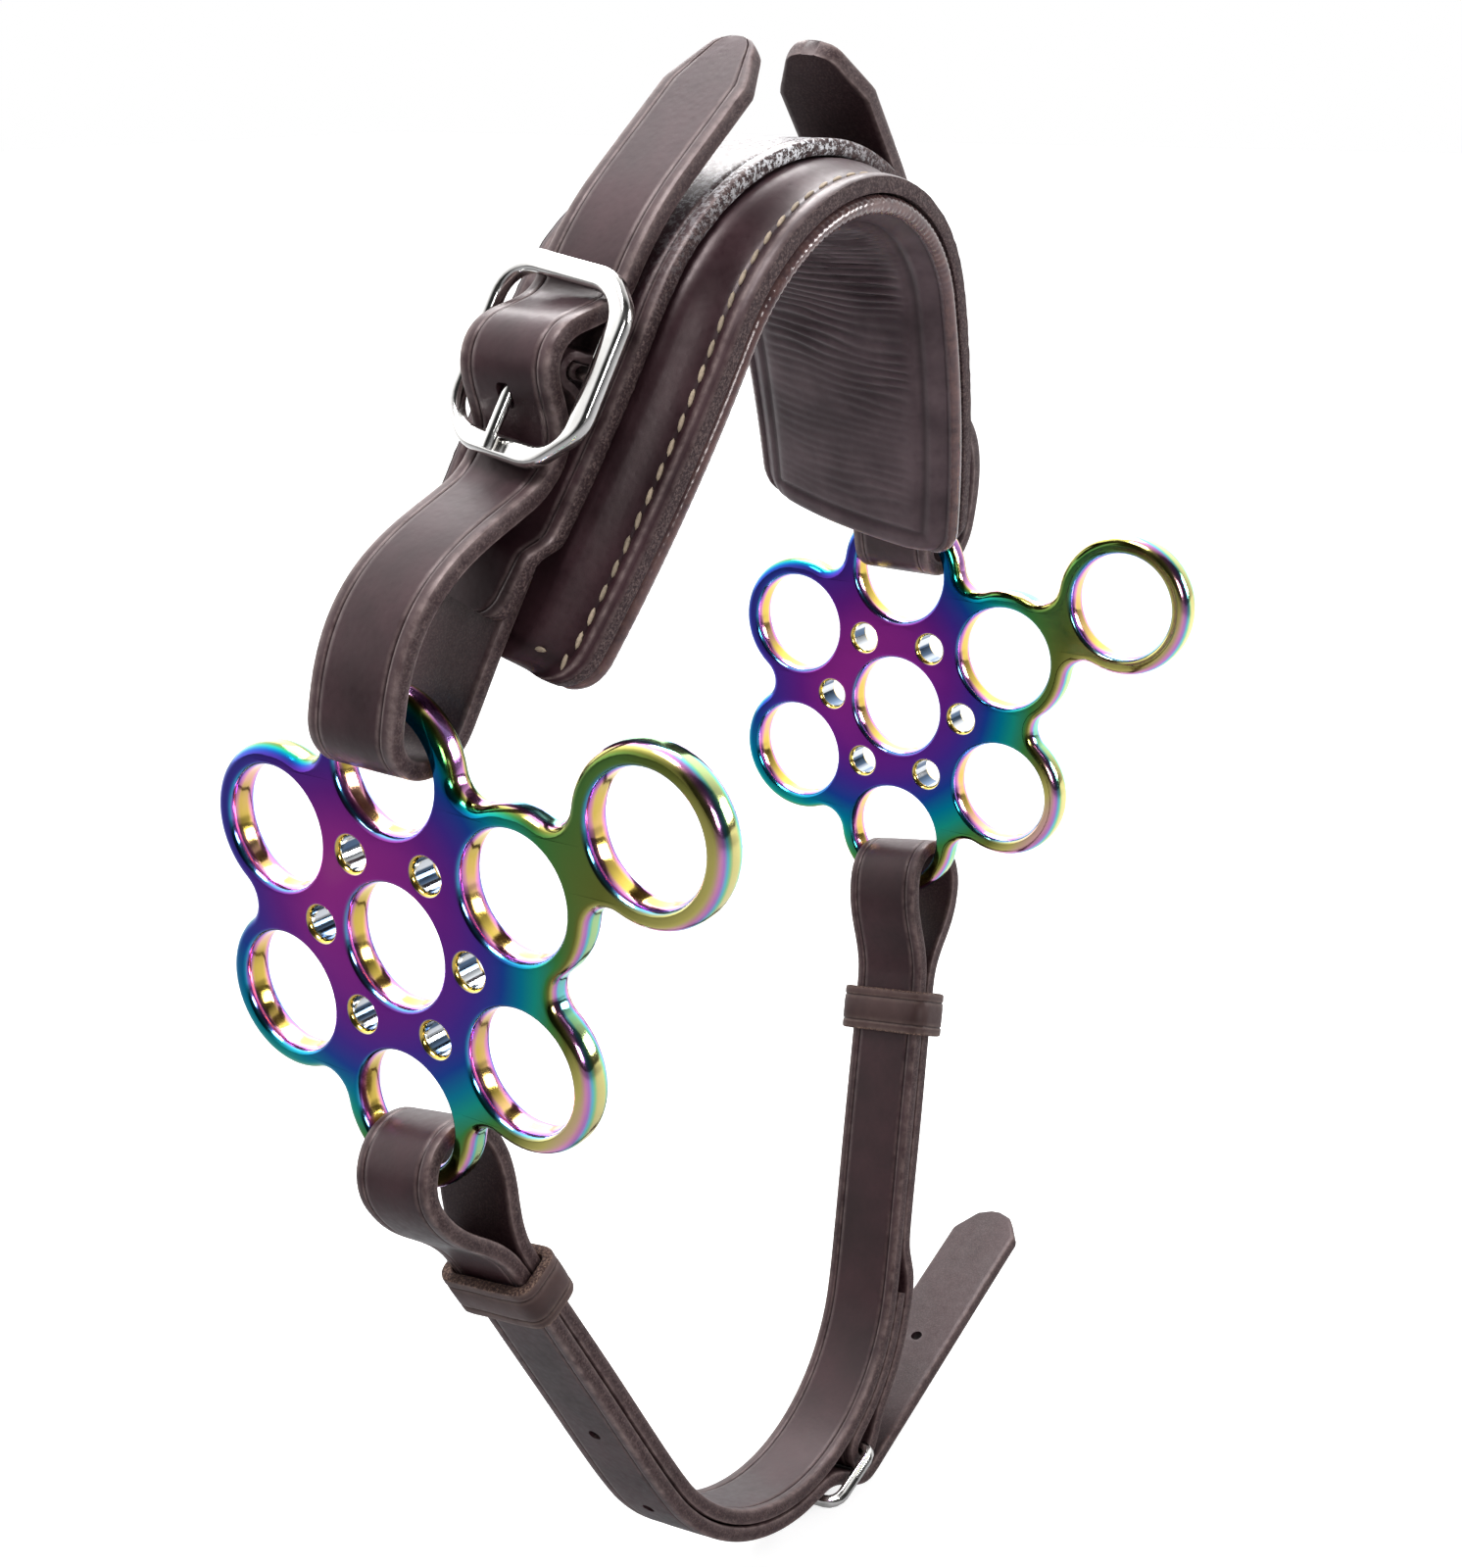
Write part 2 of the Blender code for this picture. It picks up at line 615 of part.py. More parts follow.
def prong_route(bar_to_rim, rest_height, bar_radius, prong_radius):
    """Points of a prong in its buckle's plane: bent round the bar, then out to rest on the far rim."""
    wrap = bar_radius + GAP + prong_radius
    tip = Vector((-bar_to_rim - prong_radius, rest_height + GAP + prong_radius))
    distance = tip.length
    tip_angle = math.atan2(tip.y, tip.x)
    leave = tip_angle - math.acos(wrap / distance)
    steps = 14
    points = []
    for step in range(steps + 1):
        angle = leave - PRONG_WRAP * (1 - step / steps)
        points.append(wrap * Vector((math.cos(angle), math.sin(angle))))
    leaving = points[-1]
    return points + [leaving.lerp(tip, share) for share in PRONG_POINT_SHARES]


def make_prong(name, route, radius, matrix, material):
    """A round prong; local X runs along the strap, Y across and Z out."""
    radii = [1.0] * (len(route) - 1) + [PRONG_TIP_SHARE]
    places = [(point.x, 0, point.y) for point in route]
    return curve_to_mesh_object(name, wire_curve(name, places, radius, radii), material, matrix)


def crossing_place(strap_route, line_start, line_end):
    """Where a strap's route crosses a prong, both in the buckle's plane."""
    along = (line_end - line_start).normalized()
    normal = Vector((-along.y, along.x))
    for before, after in zip(strap_route, strap_route[1:]):
        low = (before - line_start).dot(normal)
        high = (after - line_start).dot(normal)
        if low * high <= 0 and low != high:
            crossing = before.lerp(after, low / (low - high))
            if 0 < (crossing - line_start).dot(along) < (line_end - line_start).length:
                return crossing
    return line_start.lerp(line_end, 1 / 2)


def prong_slot(name, prong, strap_route, prong_radius, matrix):
    """The cutter of the slot that lets a prong through its strap."""
    start = prong[-1 - len(PRONG_POINT_SHARES)]
    end = prong[-1]
    crossing = crossing_place(strap_route, start, end)
    along = (end - start).normalized()
    upward = Vector((-along.y, along.x)) * (-1 if along.x < 0 else 1)
    below = prong_radius + PRONG_SLOT_PLAY
    above = prong_radius + PRONG_LIFT
    middle = crossing + upward * (above - below) / 2
    local = axes_matrix((middle.x, 0, middle.y), (upward.x, 0, upward.y), (0, 1, 0))
    size = (above + below, 2 * (prong_radius + PRONG_SLOT_PLAY), 2 * PRONG_SLOT_REACH)
    return box_cutter(name, size, matrix @ local)


def make_nose_buckle(side, suffix, metal, leather, strap):
    """A centre-bar buckle with its prong, and the chape that holds it to the overlay."""
    middle, strap_up, across, outward = nose_buckle_frame(side)
    matrix = axes_matrix(middle, strap_up, outward.cross(strap_up))
    half_length = NOSE_BUCKLE_LENGTH / 2
    half_width = NOSE_BUCKLE_WIDTH / 2
    chamfer = NOSE_BUCKLE_CHAMFER
    outer = [(half_length, half_width - chamfer), (half_length - chamfer, half_width),
             (chamfer - half_length, half_width), (-half_length, half_width - chamfer),
             (-half_length, chamfer - half_width), (chamfer - half_length, -half_width),
             (half_length - chamfer, -half_width), (half_length, chamfer - half_width)]
    window_length = half_length - NOSE_BUCKLE_RIM
    window_width = half_width - NOSE_BUCKLE_RIM
    window = rounded_rectangle(window_length, window_width, NOSE_WINDOW_CORNER, 4)
    curve = flat_curve("nose_buckle", [outer, window], NOSE_BUCKLE_THICKNESS / 2, NOSE_BUCKLE_EDGE_ROUND)
    frame = curve_to_mesh_object("nose_buckle_frame_" + suffix, curve, metal, matrix)
    bar_mesh = rod_mesh("nose_bar", NOSE_BAR_RADIUS, 2 * window_width + NOSE_BUCKLE_RIM)
    bar = add_object("nose_buckle_bar_" + suffix, bar_mesh, None, cutters)
    bar.matrix_world = matrix @ Matrix.Rotation(math.pi / 2, 4, "X")
    cut(frame, bar, "UNION")

    rim = half_length - NOSE_BUCKLE_RIM / 2
    route = prong_route(rim, NOSE_BUCKLE_THICKNESS / 2, NOSE_BAR_RADIUS, NOSE_PRONG_RADIUS)
    prong = make_prong("nose_buckle_prong_" + suffix, route, NOSE_PRONG_RADIUS, matrix, metal)
    slot = prong_slot(
        "nose_strap_slot_" + suffix, route, nose_strap_over_bar(), NOSE_PRONG_RADIUS, matrix)
    cut(strap, slot)

    chape = make_chape(side, suffix, leather, matrix)
    return frame, prong, chape


def rounded_rectangle(half_x, half_y, radius, steps):
    """A closed outline with round corners."""
    outline = []
    corners = ((1, 1, 0), (-1, 1, 1), (-1, -1, 2), (1, -1, 3))
    for sign_x, sign_y, quadrant in corners:
        for step in range(steps + 1):
            angle = (quadrant + step / steps) * math.pi / 2
            outline.append((sign_x * (half_x - radius) + radius * math.cos(angle),
                            sign_y * (half_y - radius) + radius * math.sin(angle)))
    return outline


def make_chape(side, suffix, material, matrix):
    """The thin leather bridge over a nose buckle's bar, sewn to the overlay on both sides of it."""
    over = NOSE_BAR_RADIUS + GAP + CHAPE_THICKNESS / 2
    lying = -(NOSE_BUCKLE_OFFSET - OVERLAY_TOP) + GAP + CHAPE_THICKNESS / 2
    flat = over + 2 * CHAPE_THICKNESS
    half = [Vector((0, over))]
    for step in range(1, 5):
        angle = math.pi / 2 * (1 - step / 4)
        half.append(over * Vector((math.cos(angle), math.sin(angle))))
    half += join_route((over, 0), (0, -1), (flat, lying), (1, 0), -lying / 2, CHAPE_THICKNESS, 6)
    half.append(Vector((CHAPE_HALF_LENGTH, lying)))
    route = [Vector((-point.x, point.y)) for point in reversed(half[1:])] + half

    def place(row, column):
        point = route[row]
        return matrix @ Vector((point.x, (column * 2 - 1) * CHAPE_WIDTH / 2, point.y))
    chape = formed_sheet("nose_buckle_chape_" + suffix, len(route), 2, place, material, CHAPE_THICKNESS, 0)
    slot_half = NOSE_PRONG_RADIUS + PRONG_SLOT_PLAY
    wrap = NOSE_BAR_RADIUS + GAP + 2 * NOSE_PRONG_RADIUS + PRONG_SLOT_PLAY
    slot = box_cutter("chape_slot_" + suffix, (2 * wrap, 2 * slot_half, 2 * wrap), matrix)
    cut(chape, slot)
    return chape


def make_nose_side(side, suffix, leather, chape_leather, metal):
    """One nose strap with its buckle, prong and chape."""
    strap = strap_sheet(
        "nose_strap_" + suffix, nose_strap_route(side), NOSE_STRAP_WIDTH, NOSE_STRAP_THICKNESS,
        lambda point: Vector((point.x, nose_strap_y(point.y), point.y)), square_to_heading, leather)
    frame, prong, chape = make_nose_buckle(side, suffix, metal, chape_leather, strap)
    middle = nose_buckle_frame(side)[0]
    axis = add_empty("nose_prong_axis_" + suffix, middle)
    carry(prong, axis)
    return strap, frame, prong, chape


# Cheek wheels

def petal_centres():
    """Ring centres in the wheel's plane: Y up, X towards the rein ring, about the wheel's centre."""
    petals = {}
    for index in range(PETAL_COUNT):
        angle = REIN_ANGLE + index * 2 * math.pi / PETAL_COUNT
        petals[index] = PETAL_RADIUS * Vector((math.cos(angle), math.sin(angle)))
    rein = REIN_RING_DISTANCE * Vector((math.cos(REIN_ANGLE), math.sin(REIN_ANGLE)))
    return petals, rein


def circle_points(centre, radius, count, start=0.0, sweep=2 * math.pi, closed=True):
    """Points round a circle or along an arc of it."""
    steps = count if closed else count - 1
    return [(centre[0] + radius * math.cos(start + sweep * step / steps),
             centre[1] + radius * math.sin(start + sweep * step / steps)) for step in range(count)]


def ring_chain_outline(centres, radius, fillet, arc_steps, fillet_steps):
    """The outline round a closed clockwise walk of equal circles, with a fillet in each notch."""
    notches = []
    for start, end in zip(centres, centres[1:] + centres[:1]):
        between = end - start
        left = Vector((-between.y, between.x)).normalized()
        height = math.sqrt(max((radius + fillet) ** 2 - (between.length / 2) ** 2, 0.0))
        notches.append((start + between / 2 + left * height, start, end))
    outline = []
    for index, centre in enumerate(centres):
        before = notches[index - 1][0]
        after = notches[index][0]
        first = math.atan2(before.y - centre.y, before.x - centre.x)
        last = math.atan2(after.y - centre.y, after.x - centre.x)
        sweep = -((first - last) % (2 * math.pi))
        steps = max(round(arc_steps * abs(sweep) / math.pi), 2) + 1
        outline += circle_points(centre, radius, steps, first, sweep, closed=False)
        towards = notches[index][2]
        first = math.atan2(centre.y - after.y, centre.x - after.x)
        last = math.atan2(towards.y - after.y, towards.x - after.x)
        sweep = (last - first + math.pi) % (2 * math.pi) - math.pi
        outline += circle_points(after, fillet, fillet_steps + 1, first, sweep, closed=False)[1:-1]
    return outline


def make_wheel(side, suffix, metal):
    """A flower of rings cut from plate, with the rein ring on its forward petal."""
    petals, rein = petal_centres()
    radius = RING_HOLE_RADIUS + RING_WALL
    walk = [petals[1], petals[0], petals[5], petals[4], petals[3], petals[2]]
    plate_outline = ring_chain_outline(walk, radius, WEB_FILLET, 9, 3)
    holes = [circle_points(centre, RING_HOLE_RADIUS, 22) for centre in petals.values()]
    holes.append(circle_points((0, 0), RING_HOLE_RADIUS, 22))
    for index in range(PETAL_COUNT):
        angle = index * 2 * math.pi / PETAL_COUNT
        centre = SMALL_HOLE_CIRCLE * Vector((math.cos(angle), math.sin(angle)))
        holes.append(circle_points(centre, SMALL_HOLE_RADIUS, 10))
    matrix = axes_matrix((side * WHEEL_SPREAD / 2, WHEEL_SETBACK, -WHEEL_DROP), (0, -1, 0), (0, 0, 1))
    curve = flat_curve("wheel_plate", [plate_outline] + holes, WHEEL_THICKNESS / 2, WHEEL_EDGE_ROUND)
    wheel = curve_to_mesh_object("cheek_wheel_" + suffix, curve, metal, matrix)

    # The rein ring and its neck are a little thinner, so its faces stand on their own
    neck = ring_chain_outline([rein, petals[0]], radius, WEB_FILLET, 12, 4)
    shorter = trim_to_neck(neck, rein, petals[0])
    rein_hole = circle_points(rein, RING_HOLE_RADIUS, 22)
    curve = flat_curve("rein_ring", [shorter, rein_hole], REIN_RING_THICKNESS / 2, WHEEL_EDGE_ROUND)
    ring = curve_to_mesh_object("rein_ring_" + suffix, curve, None, matrix, cutters)
    cut(wheel, ring, "UNION")
    return wheel


def trim_to_neck(outline, rein, petal):
    """Keep the rein ring's side of a two-ring outline, ending inside the petal ring's wall."""
    towards = (rein - petal).normalized()
    inside = petal.dot(towards) + RING_HOLE_RADIUS + RING_WALL / 2
    trimmed = []
    for x, y in outline:
        reach = Vector((x, y)).dot(towards)
        shift = max(inside - reach, 0.0)
        trimmed.append((x + towards.x * shift, y + towards.y * shift))
    neck_half = WEB_FILLET
    side_way = Vector((-towards.y, towards.x))
    kept = []
    for x, y in trimmed:
        point = Vector((x, y))
        on_end = abs(point.dot(towards) - inside) < MERGE_DISTANCE
        if not on_end or abs((point - rein).dot(side_way)) <= neck_half:
            kept.append((x, y))
    return kept


# Chin strap, laid out in its own plane: X across the chin and depth below the lower rings' centres

def chin_loop_centre():
    """Middle of a ring loop on the right side: X and depth."""
    half = CHIN_STRAP_WIDTH / 2
    reach = RING_HOLE_RADIUS - LOOP_SEAT_GAP
    seat = math.sqrt(reach ** 2 - half ** 2)
    return Vector((WHEEL_SPREAD / 2 - CHIN_LOOP_INSET, seat + CHIN_LOOP_RADIUS))


def chin_leg_angle():
    """How far the legs lean from the vertical: they run from the loops onto the bottom arc."""
    loop = chin_loop_centre()
    centre_depth = CHIN_DEPTH - CHIN_ARC_RADIUS
    below = centre_depth - loop.y
    distance = math.hypot(loop.x, below)
    return math.atan2(loop.x, below) - math.asin(CHIN_ARC_RADIUS / distance)


def chin_quarter():
    """Arc length from the lowest point to where a leg starts."""
    return CHIN_ARC_RADIUS * (math.pi / 2 - chin_leg_angle())


def chin_point(along, offset):
    """X and depth on the seam between the layers: arc length from the bottom, and distance outward."""
    side = -1 if along < 0 else 1
    turn = min(abs(along), chin_quarter()) / CHIN_ARC_RADIUS
    rest = max(abs(along) - chin_quarter(), 0.0)
    x = (CHIN_ARC_RADIUS + offset) * math.sin(turn) + rest * math.cos(turn)
    centre_depth = CHIN_DEPTH - CHIN_ARC_RADIUS
    depth = centre_depth + (CHIN_ARC_RADIUS + offset) * math.cos(turn) - rest * math.sin(turn)
    return Vector((side * x, depth))


def chin_heading(along):
    """Unit heading towards growing arc length."""
    turn = max(min(along, chin_quarter()), -chin_quarter()) / CHIN_ARC_RADIUS
    return Vector((math.cos(turn), -math.sin(turn)))


def chin_along(depth):
    """Arc length on the right leg at a depth."""
    tangent_depth = CHIN_DEPTH - CHIN_ARC_RADIUS + CHIN_ARC_RADIUS * math.sin(chin_leg_angle())
    return chin_quarter() + (tangent_depth - depth) / math.cos(chin_leg_angle())


def chin_follow(start, end, offset, steps):
    """Points along the seam at one offset, the start left out."""
    return [chin_point(start + (end - start) * step / steps, offset) for step in range(1, steps + 1)]


def chin_run(start, end, offset):
    """Follow the seam from start to end: few points on the legs, more on the bottom arc."""
    quarter = chin_quarter()
    points = []
    here = start
    for stop in (-quarter, quarter) if end > start else (quarter, -quarter):
        if min(start, end) < stop < max(start, end):
            points += chin_stretch(here, stop, offset)
            here = stop
    return points + chin_stretch(here, end, offset)


def chin_stretch(start, end, offset):
    """One stretch of the seam that is all leg or all arc."""
    middle = (start + end) / 2
    arc_step = CHIN_ARC_RADIUS / 6
    steps = max(round(abs(end - start) / arc_step), 1) if abs(middle) < chin_quarter() else 2
    return chin_follow(start, end, offset, steps)


def chin_loop(side, half_step):
    """From the outer layer at the throat round a wheel's lower ring to the inner layer."""
    angle = chin_leg_angle()
    up = Vector((side * math.sin(angle), -math.cos(angle)))
    out = Vector((side * math.cos(angle), math.sin(angle)))
    centre = chin_loop_centre()
    centre = Vector((side * centre.x, centre.y))
    throat = side * chin_along(CHIN_THROAT_DEPTH)
    start = chin_point(throat, half_step)
    end = chin_point(throat, -half_step)
    radius = CHIN_LOOP_RADIUS + CHIN_STRAP_THICKNESS / 2
    outer = centre + out * radius
    top = centre + up * radius
    inner = centre - out * radius
    reach = (start - outer).length * THROAT_REACH_SHARE
    quarter = arc_reach(radius, math.pi / 2)
    points = join_route(start, up, outer, up, reach, reach, 7)
    points += join_route(outer, up, top, -out, quarter, quarter, 6)
    points += join_route(top, -out, inner, -up, quarter, quarter, 6)
    points += join_route(inner, -up, end, -up, reach, reach, 7)
    return points


def chin_buckle_places():
    """Bar and far rim of the chin buckle, as arc lengths, and their distance outward of the seam."""
    offset = CHIN_LAYER_STEP / 2 + CHIN_RIM_STEP
    bar = CHIN_BUCKLE_LEAD
    turn = 2 * math.asin(CHIN_BUCKLE_LENGTH / 2 / (CHIN_ARC_RADIUS + offset))
    return bar, bar - turn * CHIN_ARC_RADIUS, offset


def chin_strap_route():
    """The strap's middle line, from its folded end round both rings to the free tip."""
    half_step = CHIN_LAYER_STEP / 2
    bar, rim, offset = chin_buckle_places()
    wrap = CHIN_RIM_STEP
    bar_centre = chin_point(bar, offset)
    heading = chin_heading(bar)
    out = Vector((-heading.y, heading.x))
    fold_end = bar + CHIN_FOLD_LENGTH
    points = [chin_point(fold_end, half_step)]
    points += chin_run(fold_end, bar, half_step)
    for step in range(1, 9):
        angle = math.pi * step / 9
        points.append(bar_centre - out * wrap * math.cos(angle) - heading * wrap * math.sin(angle))
    over = chin_point(bar, offset + wrap)
    points.append(over)
    settle = bar + 3 * CHIN_LAYER_STEP
    doubled = half_step + CHIN_LAYER_STEP
    points += join_route(over, heading, chin_point(settle, doubled), chin_heading(settle),
                         CHIN_LAYER_STEP, CHIN_LAYER_STEP, 4)
    past_fold = fold_end + CHIN_STRAP_THICKNESS / 2
    points += chin_run(settle, past_fold, doubled)
    closed = past_fold + 3 * CHIN_LAYER_STEP
    points += join_route(points[-1], chin_heading(past_fold), chin_point(closed, half_step),
                         chin_heading(closed), CHIN_LAYER_STEP, CHIN_LAYER_STEP, 4)
    throat = chin_along(CHIN_THROAT_DEPTH)
    points += chin_run(closed, throat, half_step)
    points += chin_loop(1, half_step)
    points += chin_run(throat, -throat, -half_step)
    points += list(reversed(chin_loop(-1, half_step)))[1:]
    points.append(chin_point(-throat, half_step))
    points += chin_run(-throat, rim, half_step)
    billet = chin_billet()
    points += billet
    points += [billet[-1] + chin_free_heading() * CHIN_FREE_LENGTH * share for share in FREE_END_SHARES]
    return points


def chin_free_heading():
    """Heading of the straight free end."""
    return Vector((math.cos(CHIN_FREE_RISE), -math.sin(CHIN_FREE_RISE)))


def chin_billet():
    """The free end's way from under the far rim up over the wrapped bar."""
    bar, rim, offset = chin_buckle_places()
    lifted = chin_point(bar, offset + CHIN_FREE_STEP)
    start = chin_point(rim, CHIN_LAYER_STEP / 2)
    return join_route(start, chin_heading(rim), lifted, chin_free_heading(),
                      CHIN_BUCKLE_LENGTH * RIM_REACH_SHARE, CHIN_BUCKLE_LENGTH * BAR_REACH_SHARE, 9)


def chin_billet_local():
    """The same points in the chin buckle's own plane."""
    bar, rim, offset = chin_buckle_places()
    bar_centre = chin_point(bar, offset)
    along = (bar_centre - chin_point(rim, offset)).normalized()
    out = Vector((-along.y, along.x))
    return [Vector(((point - bar_centre).dot(along), (point - bar_centre).dot(out)))
            for point in chin_billet()]


# Where rows fall along the free end
FREE_END_SHARES = [0.1, 0.5, 0.94, 0.965, 0.985, 1.0]


def chin_to_local(point, across):
    """From the chin strap's plane to its empty's axes."""
    return Vector((point.x, across, -point.y))


def chin_frame_matrix(place, heading):
    """Local axes at a place in the chin plane: X along the heading, Y across and Z outward."""
    x_axis = Vector((heading.x, 0, -heading.y))
    return axes_matrix(chin_to_local(place, 0), x_axis, (0, -1, 0))


def chin_hole_places():
    """Arc lengths of the plain holes that the outer layer shows left of the buckle."""
    bar, rim, _ = chin_buckle_places()
    return [rim - CHIN_HOLE_PITCH * (index + 1) for index in range(CHIN_HOLE_COUNT - 2)]


def make_chin_strap(leather, frame_matrix):
    """The long strap with its prong slots and plain holes."""
    strap = strap_sheet("chin_strap", chin_strap_route(), CHIN_STRAP_WIDTH, CHIN_STRAP_THICKNESS,
                        lambda point: chin_to_local(point, 0), lambda heading: Vector((0, 1, 0)), leather)
    half_step = CHIN_LAYER_STEP / 2
    for index, along in enumerate(chin_hole_places()):
        heading = chin_heading(along)
        place = chin_point(along, half_step)
        add_chin_hole("chin_hole_%d" % index, strap, place, heading)
    free_place = chin_billet()[-1] + chin_free_heading() * CHIN_HOLE_PITCH * 3 / 2
    add_chin_hole("chin_free_hole", strap, free_place, chin_free_heading())
    route = prong_route(CHIN_BUCKLE_LENGTH, CHIN_WIRE_RADIUS, CHIN_WIRE_RADIUS, CHIN_PRONG_RADIUS)
    slot = prong_slot("chin_strap_slot", route, chin_billet_local(), CHIN_PRONG_RADIUS, frame_matrix)
    cut(strap, slot)
    wrap_outer = CHIN_RIM_STEP + CHIN_STRAP_THICKNESS / 2
    coil = CHIN_WIRE_RADIUS + GAP + 2 * CHIN_PRONG_RADIUS + PRONG_SLOT_PLAY
    reach = wrap_outer + GAP / 2
    wide = 2 * (CHIN_PRONG_RADIUS + PRONG_SLOT_PLAY)
    wrap_slot = box_cutter("chin_wrap_slot", (reach + coil, wide, 2 * wrap_outer + GAP * 3 / 2),
                           frame_matrix @ Matrix.Translation(((coil - reach) / 2, 0, 0)))
    cut(strap, wrap_slot)
    return strap


def add_chin_hole(name, strap, place, heading):
    """A round hole through one layer of the chin strap."""
    mesh = rod_mesh(name, CHIN_HOLE_RADIUS, CHIN_STRAP_THICKNESS + GAP, 12)
    cutter = add_object(name, mesh, None, cutters)
    cutter.matrix_world = chin_frame_matrix(place, heading)
    cut(strap, cutter)


def make_chin_buckle(metal):
    """The wire frame of the chin buckle, round its bar's end of the strap."""
    half_width = CHIN_STRAP_WIDTH / 2 + CHIN_BUCKLE_SIDE_PLAY + CHIN_WIRE_RADIUS
    half_length = CHIN_BUCKLE_LENGTH / 2
    outline = rounded_rectangle(half_length, half_width, CHIN_BUCKLE_CORNER, 4)
    points = [(x - half_length, y, 0) for x, y in outline]
    return wire_curve("chin_buckle_frame", points, CHIN_WIRE_RADIUS, cyclic=True)


def make_keeper(name, along, leather):
    """A leather loop round both layers of one leg."""
    half_width = CHIN_STRAP_WIDTH / 2 + GAP
    half_depth = CHIN_STRAP_THICKNESS + GAP / 2 + GAP
    corner = KEEPER_WALL / 2
    inner = rounded_rectangle(half_width, half_depth, corner, 2)
    outer = rounded_rectangle(half_width + KEEPER_WALL, half_depth + KEEPER_WALL, corner + KEEPER_WALL, 3)
    curve = flat_curve(name, [outer, inner], KEEPER_LENGTH / 2, LEATHER_EDGE_ROUND)
    heading = chin_heading(along)
    place = chin_to_local(chin_point(along, 0), 0)
    matrix = axes_matrix(place, (0, 1, 0), (-heading.y, 0, -heading.x))
    return curve_to_mesh_object(name, curve, leather, matrix)


def make_chin_assembly(leather, metal):
    """Chin strap, buckle, prong and keepers, hung on the lower rings' axis."""
    bar, rim, offset = chin_buckle_places()
    bar_centre = chin_point(bar, offset)
    rim_centre = chin_point(rim, offset)
    chord = (bar_centre - rim_centre).normalized()
    frame_matrix = chin_frame_matrix(bar_centre, chord)
    strap = make_chin_strap(leather, frame_matrix)
    frame = curve_to_mesh_object("chin_buckle_frame", make_chin_buckle(metal), metal, frame_matrix)
    route = prong_route(CHIN_BUCKLE_LENGTH, CHIN_WIRE_RADIUS, CHIN_WIRE_RADIUS, CHIN_PRONG_RADIUS)
    prong = make_prong("chin_buckle_prong", route, CHIN_PRONG_RADIUS, frame_matrix, metal)
    keeper_along = chin_along(KEEPER_DEPTH)
    keepers = [make_keeper("chin_keeper_left", -keeper_along, leather),
               make_keeper("chin_keeper_right", keeper_along, leather)]

    hang = Matrix.Translation((0, WHEEL_SETBACK, CHIN_HINGE_Z)) @ Matrix.Rotation(-STRAP_LEAN, 4, "X")
    for thing in [strap, frame, prong, *keepers, *cutters_of(strap)]:
        thing.matrix_world = hang @ thing.matrix_world
    axis = add_empty("chin_axis", (0, WHEEL_SETBACK, CHIN_HINGE_Z))
    prong_axis = add_empty("chin_prong_axis", hang @ frame_matrix.translation)
    carry(prong_axis, axis)
    carry(prong, prong_axis)
    for thing in [strap, frame, *keepers]:
        carry(thing, axis)
    return strap, frame, prong, keepers


def cutters_of(thing):
    """The objects that a piece's Booleans use."""
    return [modifier.object for modifier in thing.modifiers if modifier.type == "BOOLEAN"]


def main():
    """Build every piece of the hackamore."""
    for thing in list(bpy.data.objects):
        bpy.data.objects.remove(thing)
    bpy.context.scene.collection.children.link(parts)
    bpy.context.scene.collection.children.link(cutters)

    leather = make_material("havana_leather", (0.060, 0.040, 0.038), 0.50, 0.0)
    soft_leather = make_material("lining_leather", (0.055, 0.045, 0.045), 0.45, 0.0)
    foam = make_material("foam", (0.35, 0.33, 0.30), 0.9, 0.0)
    rainbow_steel = make_material("coated_steel", (0.20, 0.07, 0.45), 0.15, 1.0)
    nickel = make_material("nickel_plate", (0.80, 0.79, 0.77), 0.15, 1.0)

    make_base(leather)
    make_lining(soft_leather)
    make_foam(foam)
    make_overlay(leather)
    for side, suffix in ((-1, "left"), (1, "right")):
        make_nose_side(side, suffix, leather, leather, nickel)
        wheel = make_wheel(side, suffix, rainbow_steel)
        axis = add_empty("wheel_axis_" + suffix, (side * WHEEL_SPREAD / 2, WHEEL_SETBACK, NOSE_HINGE_Z))
        carry(wheel, axis)
    make_chin_assembly(leather, nickel)


main()
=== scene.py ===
"""Looks of a bitless hackamore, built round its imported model.

Leather pieces are swept or formed from the same routes and sizes as their solids. The cheek
wheels and the nose buckles are cut again with finer edges, and the chin buckle and the chapes
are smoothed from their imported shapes.
"""

import logging
import math
from collections.abc import Callable
from dataclasses import dataclass, field, replace
from enum import Enum
from functools import cached_property

import bpy
from mathutils import Matrix, Vector, noise
from mathutils.kdtree import KDTree


